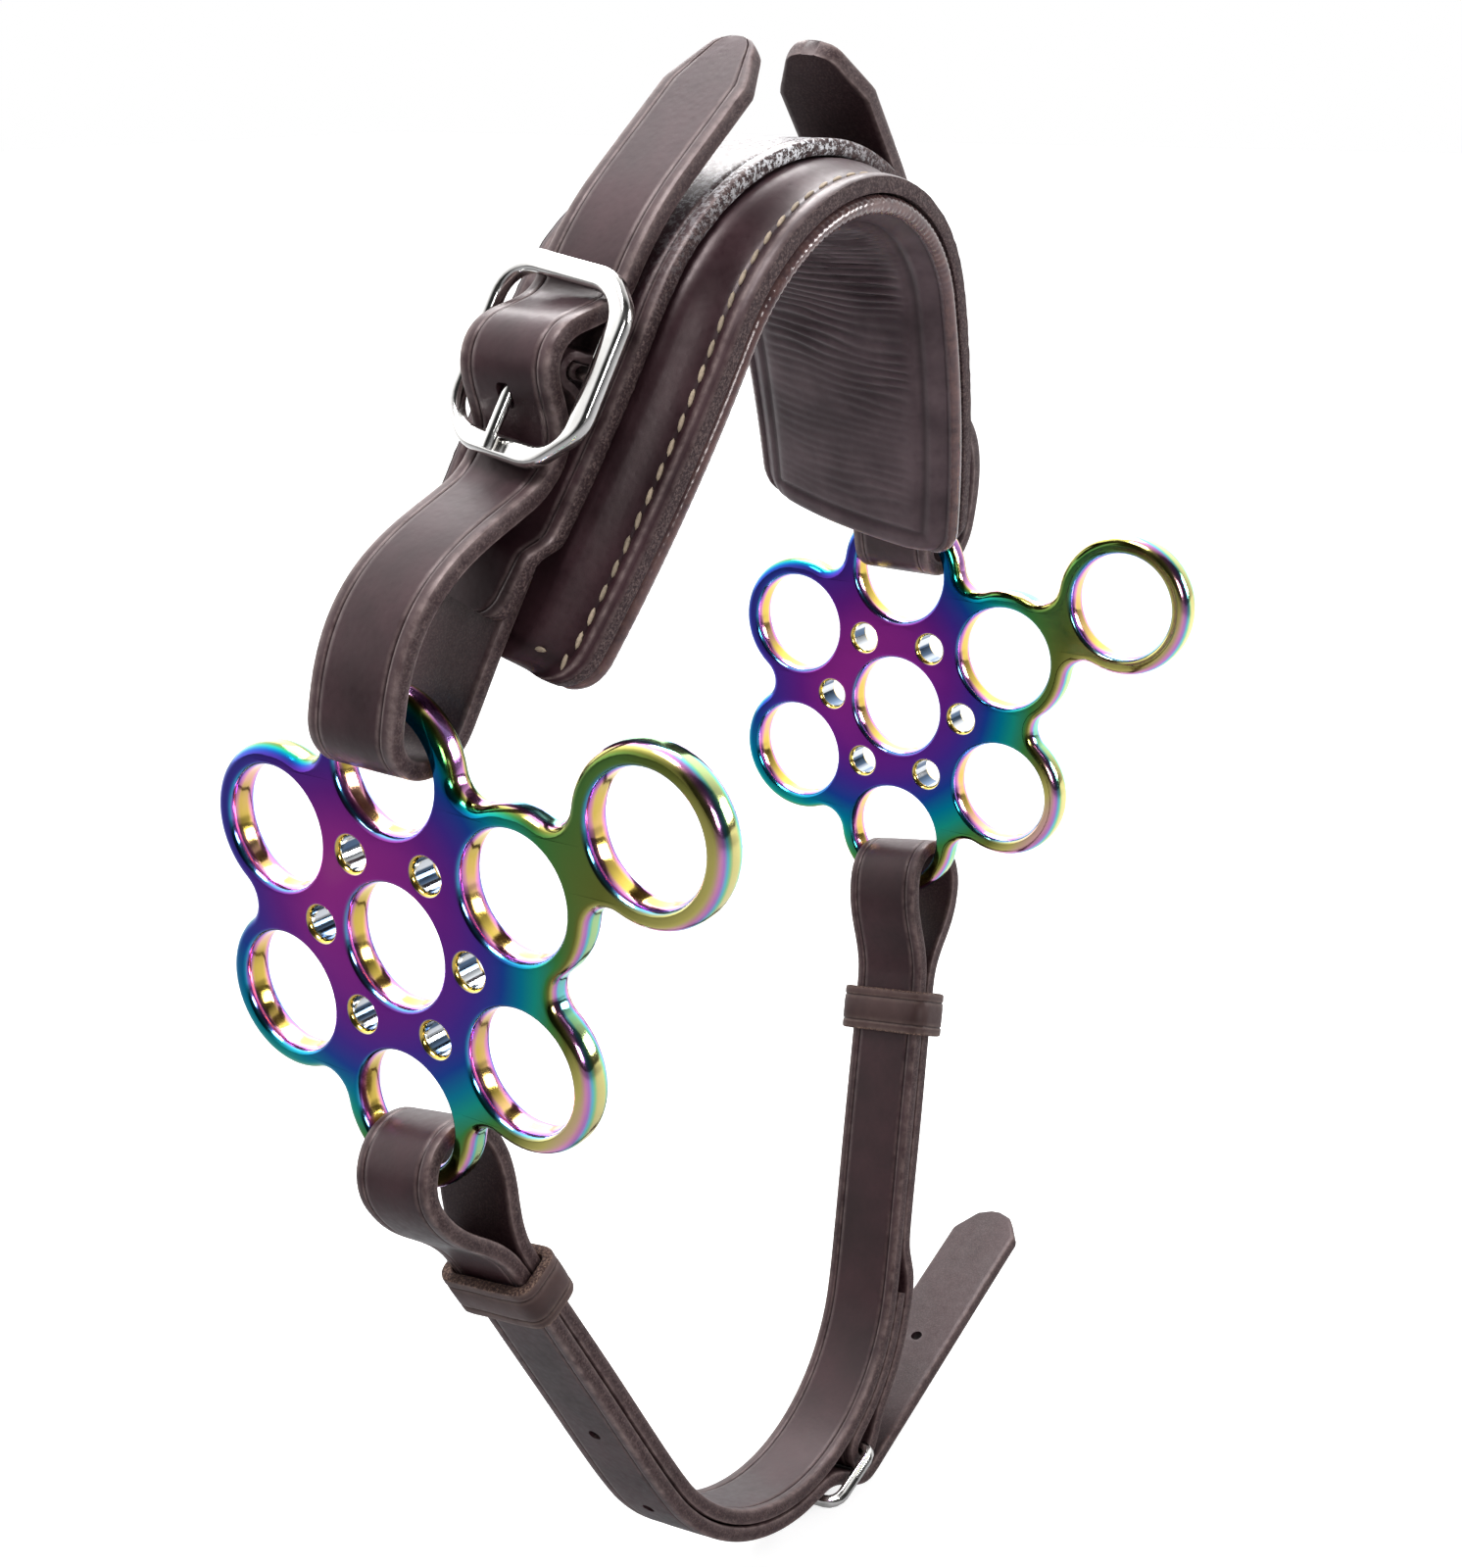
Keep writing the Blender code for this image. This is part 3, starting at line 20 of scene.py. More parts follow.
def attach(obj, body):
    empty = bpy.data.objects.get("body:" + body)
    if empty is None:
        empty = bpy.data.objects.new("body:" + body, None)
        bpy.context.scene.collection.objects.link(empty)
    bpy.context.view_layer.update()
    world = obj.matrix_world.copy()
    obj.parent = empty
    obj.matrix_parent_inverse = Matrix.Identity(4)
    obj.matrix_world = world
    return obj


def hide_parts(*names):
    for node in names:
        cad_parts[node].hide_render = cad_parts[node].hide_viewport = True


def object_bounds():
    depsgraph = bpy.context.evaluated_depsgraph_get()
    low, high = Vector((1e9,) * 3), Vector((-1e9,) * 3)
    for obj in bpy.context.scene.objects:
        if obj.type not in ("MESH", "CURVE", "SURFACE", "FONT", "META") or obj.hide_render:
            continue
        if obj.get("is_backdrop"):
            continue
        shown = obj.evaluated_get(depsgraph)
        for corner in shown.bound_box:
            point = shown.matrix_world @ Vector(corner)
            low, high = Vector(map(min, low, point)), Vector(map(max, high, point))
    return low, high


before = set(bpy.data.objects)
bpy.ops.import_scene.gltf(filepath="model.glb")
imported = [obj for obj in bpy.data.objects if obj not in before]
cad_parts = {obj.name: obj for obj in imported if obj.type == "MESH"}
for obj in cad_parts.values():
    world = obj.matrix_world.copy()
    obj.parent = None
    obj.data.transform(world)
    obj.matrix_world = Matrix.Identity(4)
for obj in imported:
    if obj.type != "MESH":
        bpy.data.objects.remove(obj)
CAD_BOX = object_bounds()

LOG = logging.getLogger("hackamore")
MM = 0.001
GAP = 0.3 * MM
WELDING = ("remove_doubles", {"threshold": 1e-6})
OUTWARDS = ("normals_make_consistent", {"inside": False})

Value = bpy.types.NodeSocket | float | tuple
Colour = tuple[float, float, float]
Place = Callable[[float, tuple], Vector]
Mark = Callable[[float, tuple], float]


class Side(Enum):
    """Left or right half of the hackamore, as the sign of X."""

    LEFT = -1
    RIGHT = 1

    @property
    def suffix(self) -> str:
        """Ending of this side's piece names."""
        return self.name.lower()


# Middle lines of the straps in millimetres, as in the solids. The nose straps share the run from
# their sewn ends to their billets, given for the right side. The chin strap's run from the top of
# its right leg to the middle is mirrored on the left.
NOSE_LEG = [
    (59.68, 10.29, -46.84), (62.2, 11.19, -51.89), (64.73, 12.08, -56.95), (66.09, 12.58, -59.8),
    (67.4, 13.09, -62.67), (68.69, 13.59, -65.55), (70, 14.1, -68.43), (71.37, 14.6, -71.27),
    (72.38, 14.88, -72.83), (73.69, 15.1, -74.11), (75.23, 15.27, -75.06), (76.95, 15.38, -75.66),
    (78.8, 15.41, -75.87), (81.01, 15.36, -75.57), (82.99, 15.21, -74.74), (84.67, 14.98, -73.44),
    (85.97, 14.69, -71.76), (86.8, 14.34, -69.78), (87.1, 13.95, -67.57), (86.54, 12.67, -60.34),
    (84.98, 11.65, -54.51), (82.59, 10.83, -49.89), (79.53, 10.19, -46.27), (75.99, 9.69, -43.44),
    (72.14, 9.3, -41.21), (68.14, 8.98, -39.38), (64.17, 8.69, -37.74), (60.4, 8.4, -36.09),
    (58.88, 8.24, -35.17), (57.45, 8.02, -33.96), (56.21, 7.77, -32.55), (55.27, 7.51, -31.05),
    (54.6, 7.13, -28.9), (54.64, 6.76, -26.82), (55.17, 6.41, -24.8), (56.02, 6.06, -22.82),
    (56.98, 5.72, -20.89), (57.86, 5.38, -18.98), (58.47, 5.05, -17.09), (58.6, 4.72, -15.21),
    (58.07, 4.39, -13.34), (56.89, 4.11, -11.79), (55.32, 3.93, -10.76), (53.44, 3.82, -10.11),
    (51.39, 3.74, -9.67), (49.26, 3.67, -9.27), (47.17, 3.58, -8.75), (45.23, 3.44, -7.97),
    (43.55, 3.22, -6.74), (42.25, 2.9, -4.91),
]
NOSE_BILLETS = {
    Side.LEFT: [
        (40.44, 2.32, -1.61), (38.38, 1.76, 1.54), (36.09, 1.24, 4.52), (33.58, 0.74, 7.32),
        (30.86, 0.29, 9.92), (22.02, -1.09, 17.74), (13.19, -2.47, 25.56), (11.42, -2.75, 27.12),
        (10.09, -2.95, 28.3), (9.21, -3.09, 29.08), (8.77, -3.16, 29.47),
    ],
    Side.RIGHT: [
        (40.7, 2.4, -2.06), (38.97, 1.91, 0.69), (37.06, 1.45, 3.32), (34.98, 1.01, 5.82),
        (32.74, 0.59, 8.17), (24.32, -0.86, 16.44), (15.91, -2.32, 24.71), (14.22, -2.61, 26.37),
        (12.96, -2.83, 27.61), (12.12, -2.98, 28.43), (11.7, -3.05, 28.85),
    ],
}
CHIN_WRAP = [
    (41.71, -0.95, -231.93), (37.36, -2.17, -238.87), (31.84, -3.24, -244.94),
    (25.3, -4.13, -249.96), (17.98, -4.8, -253.75), (17.01, -4.91, -254.36),
    (16.32, -5.06, -255.26), (15.97, -5.25, -256.34), (16.03, -5.45, -257.47),
    (16.47, -5.64, -258.51), (17.25, -5.78, -259.34), (18.26, -5.87, -259.86), (19.4, -5.9, -260),
    (20.52, -5.86, -259.75), (22.72, -5.58, -258.2), (24.81, -5.17, -255.87),
    (26.83, -4.74, -253.42), (28.84, -4.41, -251.52), (35.5, -3.43, -245.97),
    (41.07, -2.26, -239.36), (45.39, -0.95, -231.9), (45.94, -0.52, -229.47),
    (45.92, -0.04, -226.77), (45.9, 0.43, -224.07), (46.44, 0.87, -221.63), (57.91, 5.32, -196.39),
]
CHIN_HALF = [
    (69.39, 9.77, -171.15), (71.34, 10.36, -167.78), (73.58, 10.81, -165.21),
    (75.99, 11.18, -163.13), (78.46, 11.52, -161.21), (80.87, 11.89, -159.13),
    (83.11, 12.34, -156.56), (85.06, 12.93, -153.19), (85.7, 13.31, -151.03),
    (85.75, 13.7, -148.86), (85.24, 14.06, -146.78), (84.21, 14.4, -144.9),
    (82.71, 14.68, -143.31), (80.77, 14.88, -142.13), (78.59, 15, -141.49), (76.38, 15, -141.44),
    (74.27, 14.92, -141.95), (72.35, 14.74, -142.96), (70.74, 14.48, -144.44),
    (69.54, 14.14, -146.35), (68.28, 13.49, -150.03), (67.83, 12.9, -153.38),
    (67.86, 12.34, -156.54), (68.05, 11.8, -159.63), (68.08, 11.24, -162.79),
    (67.63, 10.65, -166.14), (66.37, 10, -169.83), (52.97, 4.8, -199.32), (39.57, -0.4, -228.8),
    (36.14, -1.48, -234.94), (31.74, -2.45, -240.44), (26.48, -3.28, -245.16),
    (20.51, -3.96, -248.97), (13.99, -4.45, -251.77), (7.09, -4.75, -253.48), (0, -4.85, -254.05),
]
CHIN_BILLET = [
    (-55.98, 4.57, -200.64), (-42.58, -0.63, -230.13), (-38.61, -1.87, -237.14),
    (-33.47, -2.97, -243.36), (-27.31, -3.89, -248.61), (-20.32, -4.62, -252.72),
    (-12.7, -5.12, -255.57), (-4.7, -5.38, -257.07), (3.44, -5.4, -257.18), (5.96, -5.42, -257.29),
    (8.24, -5.54, -257.93), (10.33, -5.71, -258.92), (12.3, -5.92, -260.1),
    (14.18, -6.13, -261.32), (16.04, -6.33, -262.41), (17.93, -6.47, -263.21),
    (19.9, -6.53, -263.56), (22.02, -6.48, -263.3), (29.62, -6.1, -261.15),
    (59.99, -4.59, -252.57), (93.4, -2.93, -243.14), (95.3, -2.83, -242.6),
    (96.82, -2.76, -242.17), (97.96, -2.7, -241.85),
]

# Middles and axes of the holes punched in the chin strap
CHIN_HOLES = [
    ((-20.97, -4.56, -252.4), (-0.4495, -0.1551, -0.8797)),
    ((-39.41, -1.66, -235.94), (-0.8448, -0.0929, -0.527)),
    ((-49.86, 2.19, -214.1), (-0.9127, -0.0709, -0.4024)),
    ((57.06, -4.74, -253.4), (0.2756, -0.1669, -0.9467)),
]

# Axes and middles in metres of the prong slots in the chin strap
BILLET_SLOT = Matrix((
    (0.232554, -1e-06, -0.972584, 0.0132), (-0.168887, -0.984808, -0.040382, -0.006079),
    (-0.957808, 0.173648, -0.229021, -0.261012), (0, 0, 0, 1)))
WRAP_SLOT = Matrix((
    (0.972583, 0, 0.232554, 0.018639), (0.040383, -0.984808, -0.168887, -0.005353),
    (0.229021, 0.173648, -0.957808, -0.256896), (0, 0, 0, 1)))

# The same for what both sides have, given for the left, and which axis turns on the right
PLACEMENTS = {
    "nose_slot": (Matrix((
        (-0.889254, 0.06955, -0.452095, -0.057903), (-0.001983, 0.987777, 0.15586, 0.005697),
        (0.45741, 0.139495, -0.878247, -0.019357), (0, 0, 0, 1))), (1, -1, 1)),
    "buckle": (Matrix((
        (0.440744, 0.06955, -0.894935, -0.052698), (-0.155872, 0.987777, 0, 0.004859),
        (0.883996, 0.139495, 0.446198, -0.016017), (0, 0, 0, 1))), (1, -1, 1)),
    "keeper": (Matrix((
        (0, -0.912727, -0.408569, -0.065418), (0.984808, -0.070947, 0.158493, 0.008928),
        (-0.173648, -0.402362, 0.898861, -0.175908), (0, 0, 0, 1))), (1, 1, -1)),
}


# Modelling tools

def nose_route(side: Side) -> list[Vector]:
    """Places along the middle of a nose strap, from its sewn end to its tip."""
    return [Vector((side.value * x, y, z)) * MM for x, y, z in NOSE_LEG + NOSE_BILLETS[side]]


def chin_route() -> list[Vector]:
    """Places along the middle of the chin strap, from its end at the buckle to its free tip."""
    left_half = [(-x, y, z) for x, y, z in reversed(CHIN_HALF[:-1])]
    return [Vector(place) * MM for place in CHIN_WRAP + CHIN_HALF + left_half + CHIN_BILLET]


def placement(name: str, side: Side) -> Matrix:
    """Give the axes and the middle of something that both sides have.

    Args:
        name: which placement it is.
        side: the side that it is wanted for.

    Returns:
        The left placement, or its mirror image for the right side.
    """
    left, turned_axis = PLACEMENTS[name]
    if side is Side.LEFT:
        return left
    return Matrix.Diagonal((-1, 1, 1, 1)) @ left @ Matrix.Diagonal((*turned_axis, 1))


def deselect() -> None:
    """Leave nothing selected."""
    bpy.ops.object.select_all(action="DESELECT")


def pick(thing: bpy.types.Object) -> None:
    """Select one object alone and make it active.

    Args:
        thing: the object.
    """
    deselect()
    thing.select_set(True)
    bpy.context.view_layer.objects.active = thing


def rename(thing: bpy.types.Object, name: str) -> bpy.types.Object:
    """Give an object and its mesh one name."""
    thing.name = thing.data.name = name
    return thing


def put(name: str, data: bpy.types.ID) -> bpy.types.Object:
    """Add an object that shows some data to the scene.

    Args:
        name: the object's name.
        data: its mesh, lamp or other data.

    Returns:
        The new object.
    """
    thing = bpy.data.objects.new(name, data)
    bpy.context.scene.collection.objects.link(thing)
    return thing


def primitive(kind: str, name: str, **settings: object) -> bpy.types.Object:
    """Add one of Blender's primitives, with nothing else selected.

    Args:
        kind: the middle of the operator's name.
        name: the new object's name.
        settings: the operator's own settings.

    Returns:
        The new object.
    """
    deselect()
    getattr(bpy.ops.mesh, f"primitive_{kind}_add")(**settings)
    return rename(bpy.context.object, name)


def join(things: list[bpy.types.Object]) -> bpy.types.Object:
    """Join objects into the first of them.

    Args:
        things: the objects.

    Returns:
        The first object, which now holds them all.
    """
    pick(things[0])
    for thing in things[1:]:
        thing.select_set(True)
    bpy.ops.object.join()
    return things[0]


def edit_all(thing: bpy.types.Object, *steps: tuple[str, dict]) -> None:
    """Run mesh operators in edit mode on the whole of an object.

    Args:
        thing: the object to edit.
        steps: names of mesh operators with their settings.
    """
    pick(thing)
    bpy.ops.object.mode_set(mode="EDIT")
    for operator, settings in steps:
        bpy.ops.mesh.select_all(action="SELECT")
        getattr(bpy.ops.mesh, operator)(**settings)
    bpy.ops.object.mode_set(mode="OBJECT")


def apply_modifier(thing: bpy.types.Object, kind: str, **settings: object) -> None:
    """Add a modifier, set it and apply it.

    Args:
        thing: the object that takes the modifier.
        kind: Blender's modifier type.
        settings: values of the modifier's properties.
    """
    pick(thing)
    modifier = thing.modifiers.new(kind.title(), kind)
    for key, value in settings.items():
        setattr(modifier, key, value)
    bpy.ops.object.modifier_apply(modifier=modifier.name)


def smooth(thing: bpy.types.Object, degrees: float = 40.0) -> None:
    """Shade an object smooth but for edges sharper than an angle."""
    pick(thing)
    bpy.ops.object.shade_smooth_by_angle(angle=math.radians(degrees))


def settle(thing: bpy.types.Object) -> None:
    """Move an object's place into its mesh, so that it sits at the origin."""
    pick(thing)
    bpy.ops.object.transform_apply(location=True, rotation=True, scale=True)


def scatter(seed: float) -> float:
    """A repeatable number between -1 and 1 for a seed."""
    value = math.sin(seed * 12.9898) * 43758.5453
    return 2 * (value - math.floor(value)) - 1


def ease(share: float) -> float:
    """A smooth rise from 0 to 1."""
    share = min(max(share, 0.0), 1.0)
    return share * share * (3 - 2 * share)


def bell(value: float, width: float) -> float:
    """A smooth hump of height 1 at zero that fades over a width."""
    return math.exp(-(value / width) ** 2)


def corner_cut(to_end: float, corner: float) -> float:
    """How far a round corner draws an edge in at a distance from the piece's end."""
    reach = max(corner - to_end, 0.0)
    return corner - math.sqrt(max(corner ** 2 - reach ** 2, 0.0))


def arc(centre: Vector, radius: float, first: float, turn: float, steps: int) -> list[Vector]:
    """Give points along an arc in a plane.

    Args:
        centre: the arc's centre.
        radius: its radius.
        first: the angle at which it starts, in radians.
        turn: how far it goes round from there.
        steps: how many pieces it is divided into.

    Returns:
        The points in order, both ends among them.
    """
    angles = [first + turn * step / steps for step in range(steps + 1)]
    return [centre + radius * Vector((math.cos(angle), math.sin(angle))) for angle in angles]


def round_box(x: float, y: float, corner: float, steps: int) -> list[Vector]:
    """Outline a rectangle with round corners.

    Args:
        x: half of its length.
        y: half of its width.
        corner: the radius of its corners.
        steps: how many pieces each corner is divided into.

    Returns:
        The outline's points in order.
    """
    points = []
    for quadrant, (sign_x, sign_y) in enumerate(((1, 1), (-1, 1), (-1, -1), (1, -1))):
        centre = Vector((sign_x * (x - corner), sign_y * (y - corner)))
        points += arc(centre, corner, quadrant * math.pi / 2, math.pi / 2, steps)
    return points


def between(first: Vector, second: Vector, start: float, end: float, time: float) -> Vector:
    """Where a straight walk is at a time, when it passes two places at two times."""
    return first * ((end - time) / (end - start)) + second * ((time - start) / (end - start))


def resample(points: list[Vector], step: float) -> list[Vector]:
    """Run a smooth curve through points and give places on it.

    Args:
        points: places that the curve passes, in order.
        step: the longest distance between two results.

    Returns:
        Places along the curve, the given ones among them.
    """
    padded = [2 * points[0] - points[1], *points, 2 * points[-1] - points[-2]]
    result = [points[0].copy()]
    for index in range(1, len(padded) - 2):
        p0, p1, p2, p3 = padded[index - 1:index + 3]
        t1 = math.sqrt((p1 - p0).length)
        t2 = t1 + math.sqrt((p2 - p1).length)
        t3 = t2 + math.sqrt((p3 - p2).length)
        count = max(math.ceil((p2 - p1).length / step), 1)
        for part in range(1, count + 1):
            time = t1 + (t2 - t1) * part / count
            a1 = between(p0, p1, 0, t1, time)
            a2 = between(p1, p2, t1, t2, time)
            a3 = between(p2, p3, t2, t3, time)
            b1, b2 = between(a1, a2, 0, t2, time), between(a2, a3, t1, t3, time)
            result.append(between(b1, b2, t1, t2, time))
    return result


@dataclass(frozen=True)
class SectionPoint:
    """A corner of a strap's cross-section and what its surface shows there."""

    across: float
    height: float
    # Lighter colour: real rubbing, and painted highlight on the lines beside creases and ridges
    wear: float = 0.0
    flesh: float = 0.0
    # Painted shade in the crease groove
    groove_shade: float = 0.0

    @property
    def marks(self) -> dict[str, float]:
        """Its surface marks by name."""
        return {"wear": self.wear, "flesh": self.flesh, "groove_shade": self.groove_shade}


@dataclass(frozen=True)
class Station:
    """A place along a sweep, with its own axes and width."""

    place: Vector
    across: Vector
    out: Vector
    along: float
    share: float = 1.0


@dataclass(frozen=True)
class Spot:
    """What one point of a formed body gets: its place, its place on the flat leather, its marks."""

    place: Vector
    flat: tuple[float, float]
    marks: dict[str, float]


def flip(points: list[SectionPoint], x: int, y: int) -> list[SectionPoint]:
    """Mirror a section's points across either axis by the signs of x and y."""
    return [replace(point, across=x * point.across, height=y * point.height) for point in points]


def strap_section(width: float, thickness: float, crease_inset: float,
                  rough: float = 0.0) -> list[SectionPoint]:
    """Closed cross-section of a leather strap with a creased face and eased edges.

    Args:
        width: the strap's width in metres.
        thickness: its thickness in metres.
        crease_inset: distance of the crease lines from the edges.
        rough: how raw the cut edges are, from 0 to 1.

    Returns:
        The corners in order, starting on the face's left edge.
    """
    half, top = width / 2, thickness / 2
    eased = 0.2 * thickness
    shoulder = top - 0.03 * MM
    crease_depth, crease_spread = 0.22 * MM, 0.35 * MM
    crease = half - crease_inset
    # Beside the crease the face gets painted highlight lines, and the crease itself painted shade
    face = [SectionPoint(half - eased, shoulder, wear=0.8),
            SectionPoint(half - 2 * eased, top, wear=0.3),
            SectionPoint(crease + 2 * crease_spread, top, wear=0.1),
            SectionPoint(crease + crease_spread, top, wear=0.75),
            SectionPoint(crease, top - crease_depth, groove_shade=1.0),
            SectionPoint(crease - crease_spread, top, wear=0.5),
            SectionPoint(crease - 3 * crease_spread, top),
            SectionPoint(half / 3, top + 0.04 * MM)]
    back = [SectionPoint(half - eased, shoulder, wear=0.4),
            SectionPoint(half - 2 * eased, top, flesh=0.3),
            SectionPoint(half / 3, top, flesh=0.4)]
    edge = [SectionPoint(half - 0.35 * eased, top - 0.35 * eased, wear=1.0, flesh=rough),
            SectionPoint(half, top - 1.2 * eased, wear=0.5, flesh=max(rough, 0.6)),
            SectionPoint(half + 0.02 * thickness, 0.0, wear=0.2, flesh=max(rough, 0.8))]
    side = edge + flip(edge[-2::-1], 1, -1)
    return (flip(face, -1, 1) + face[::-1] + side + flip(back, 1, -1)
            + flip(back[::-1], -1, -1) + flip(side[::-1], -1, 1))


def tip_share(to_tip: float, length: float) -> float:
    """Share of a strap's width left near its tip: straight shoulders, then a round point.

    Args:
        to_tip: distance to the tip.
        length: how long the tip is.

    Returns:
        The share, 1 where the tip hasn't started.
    """
    if to_tip >= length:
        return 1.0
    shoulder = 0.45 + 0.55 * to_tip / length
    point = 0.22 * length
    if to_tip < point:
        shoulder *= 0.35 + 0.65 * math.sqrt(1 - (1 - to_tip / point) ** 2)
    return shoulder


def store(mesh: bpy.types.Mesh, name: str, values: list[float]) -> None:
    """Keep one number for each point of a mesh under a name that materials read."""
    mesh.attributes.new(name, "FLOAT", "POINT").data.foreach_set("value", values)


def form(name: str, rows: int, columns: int, spot_at: Callable[[int, int], Spot],
         looped: bool = False, degrees: float = 40.0) -> bpy.types.Object:
    """Form a grid into a closed body.

    Args:
        name: the piece's name.
        rows: how many rows of points it has.
        columns: how many points stand round each row.
        spot_at: gives the point of a row and a column.
        looped: whether the last row lies on the first, so that there are no ends to close.
        degrees: the angle above which an edge stays sharp.

    Returns:
        The finished mesh object.
    """
    thing = primitive("grid", name, x_subdivisions=rows - 1, y_subdivisions=columns, size=2)
    mesh = thing.data
    spots = []
    for vertex in mesh.vertices:
        row = round((vertex.co.x + 1) / 2 * (rows - 1))
        column = round((vertex.co.y + 1) / 2 * columns) % columns
        spots.append(spot_at(row, column))
    for vertex, spot in zip(mesh.vertices, spots):
        vertex.co = spot.place
    for mark in spots[0].marks:
        store(mesh, mark, [spot.marks[mark] for spot in spots])
    layer = mesh.uv_layers.active.data
    for loop in mesh.loops:
        layer[loop.index].uv = spots[loop.vertex_index].flat
    closing = [] if looped else [("fill_holes", {"sides": 0})]
    edit_all(thing, WELDING, *closing, OUTWARDS)
    smooth(thing, degrees)
    return thing


def sweep(name: str, stations: list[Station], section: list[SectionPoint],
          looped: bool = False) -> bpy.types.Object:
    """Sweep a closed section along stations into a solid piece.

    Args:
        name: the piece's name.
        stations: places and axes along the way.
        section: the closed cross-section.
        looped: whether the last station joins the first.

    Returns:
        The finished mesh object.
    """
    def spot_at(row: int, column: int) -> Spot:
        """Set one corner of the section at one station.

        Args:
            row: the station's number.
            column: the corner's number.

        Returns:
            The corner's place and marks.
        """
        station, point = stations[row % len(stations)], section[column]
        lap = stations[-1].along if row == len(stations) else 0.0
        place = (station.place + station.across * (point.across * station.share)
                 + station.out * point.height)
        return Spot(place, (station.along + lap, point.across), point.marks)
    return form(name, len(stations) + looped, len(section), spot_at, looped)


def cut_with(thing: bpy.types.Object, cutter: bpy.types.Object) -> None:
    """Cut one object by another and take the cutter away.

    Args:
        thing: the object that is cut.
        cutter: the object that cuts it.
    """
    settle(cutter)
    apply_modifier(thing, "BOOLEAN", object=cutter, operation="DIFFERENCE", solver="EXACT")
    bpy.data.objects.remove(cutter)
    smooth(thing)


def cut_slot(thing: bpy.types.Object, place: Matrix, size: tuple[float, float, float]) -> None:
    """Cut a round-cornered slot.

    Args:
        thing: the strap that is cut.
        place: the slot's axes and middle.
        size: the slot's full size along those axes, in metres.
    """
    cutter = primitive("cube", "slot_cutter", size=1)
    cutter.data.transform(Matrix.Diagonal((*size, 1)))
    apply_modifier(cutter, "BEVEL", width=min(size) * 0.3, segments=3)
    cutter.matrix_world = place
    cut_with(thing, cutter)


def cut_hole(thing: bpy.types.Object, place: Vector, direction: Vector, radius: float,
             depth: float) -> None:
    """Punch a round hole.

    Args:
        thing: the strap that is cut.
        place: the hole's middle.
        direction: the hole's axis.
        radius: the hole's radius in metres.
        depth: the cutter's full length in metres.
    """
    turn = direction.to_track_quat("Z", "Y").to_euler()
    cut_with(thing, primitive("cylinder", "hole_cutter", vertices=20, radius=radius, depth=depth,
                              location=place, rotation=turn))


def copy_of_node(node: str, name: str, round_width: float) -> bpy.types.Object:
    """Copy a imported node's mesh as a welded piece with eased edges.

    Args:
        node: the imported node.
        name: the new piece's name.
        round_width: how far its edges are eased, in metres.

    Returns:
        The new object.
    """
    thing = rename(put(name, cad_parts[node].data.copy()), name)
    edit_all(thing, WELDING, ("dissolve_limited", {"angle_limit": math.radians(1)}))
    apply_modifier(thing, "BEVEL", width=round_width, segments=2, limit_method="ANGLE",
                   angle_limit=math.radians(35))
    smooth(thing)
    return thing


def convert(curve: bpy.types.Curve, name: str) -> bpy.types.Object:
    """Turn a curve into a welded mesh object.

    Args:
        curve: the curve with its thickness set.
        name: the piece's name.

    Returns:
        The mesh object.
    """
    pick(put(name, curve))
    bpy.ops.object.convert(target="MESH")
    thing = rename(bpy.context.object, name)
    edit_all(thing, WELDING, OUTWARDS)
    return thing


def add_spline(curve: bpy.types.Curve, places: list[tuple[float, float, float]],
               cyclic: bool) -> None:
    """Add a run of straight pieces to a curve.

    Args:
        curve: the curve that gets it.
        places: its points in order.
        cyclic: whether its end joins its start.
    """
    spline = curve.splines.new("POLY")
    spline.points.add(len(places) - 1)
    for point, place in zip(spline.points, places):
        point.co = (*place, 1.0)
    spline.use_cyclic_u = cyclic


def flat_plate(name: str, edges: list[list[Vector]], thickness: float, edge_round: float,
               resolution: int) -> bpy.types.Object:
    """Cut a plate with rounded edges from its outline and the outlines of its holes.

    Args:
        name: the piece's name.
        edges: the outline and the holes, in the plate's plane.
        thickness: the plate's thickness in metres.
        edge_round: the radius of every edge.
        resolution: the curve's bevel resolution.

    Returns:
        The plate in the XY plane about its middle.
    """
    curve = bpy.data.curves.new(name, "CURVE")
    curve.dimensions = "2D"
    curve.fill_mode = "BOTH"
    curve.extrude = thickness / 2 - edge_round
    curve.bevel_depth = edge_round
    curve.offset = -edge_round
    curve.bevel_resolution = resolution
    for edge in edges:
        add_spline(curve, [(point.x, point.y, 0.0) for point in edge], True)
    return convert(curve, name)


def wire(name: str, places: list[tuple[float, float, float]], radius: float,
         shares: list[float]) -> bpy.types.Object:
    """Run a round wire through places, with flat ends.

    Args:
        name: the piece's name.
        places: points along its middle.
        radius: its radius in metres.
        shares: share of the radius at each point.

    Returns:
        The wire as a mesh object.
    """
    curve = bpy.data.curves.new(name, "CURVE")
    curve.dimensions = "3D"
    curve.bevel_depth = radius
    curve.bevel_resolution = 5
    curve.use_fill_caps = True
    add_spline(curve, places, False)
    for point, share in zip(curve.splines[0].points, shares):
        point.radius = share
    thing = convert(curve, name)
    smooth(thing, 50.0)
    return thing


def sew(name: str, stations: list[Station], length: float, width: float,
        slant: float) -> bpy.types.Object:
    """Lay one stitch at each station and join them.

    Args:
        name: the row's name.
        stations: middles of the stitches; across is square to the seam, out points off the leather.
        length: a stitch's length in metres.
        width: its width in metres.
        slant: how far a stitch turns from the seam's line, in radians.

    Returns:
        One object with every stitch.
    """
    model = primitive("uv_sphere", name, segments=8, ring_count=6, radius=0.5)
    model.data.transform(Matrix.Diagonal((length, width, 0.8 * width, 1)))
    smooth(model, 80.0)
    stitches = []
    for index, station in enumerate(stations):
        stitch = put(name, model.data.copy())
        heading = station.across.cross(station.out)
        axes = Matrix((heading, station.across, station.out)).transposed()
        turn = Matrix.Rotation(slant + 0.08 * scatter(index), 3, "Z")
        placed = (axes @ turn).to_4x4()
        placed.translation = station.place
        stitch.data.transform(placed)
        stitches.append(stitch)
    bpy.data.objects.remove(model)
    return rename(join(stitches), name)


# Finishes

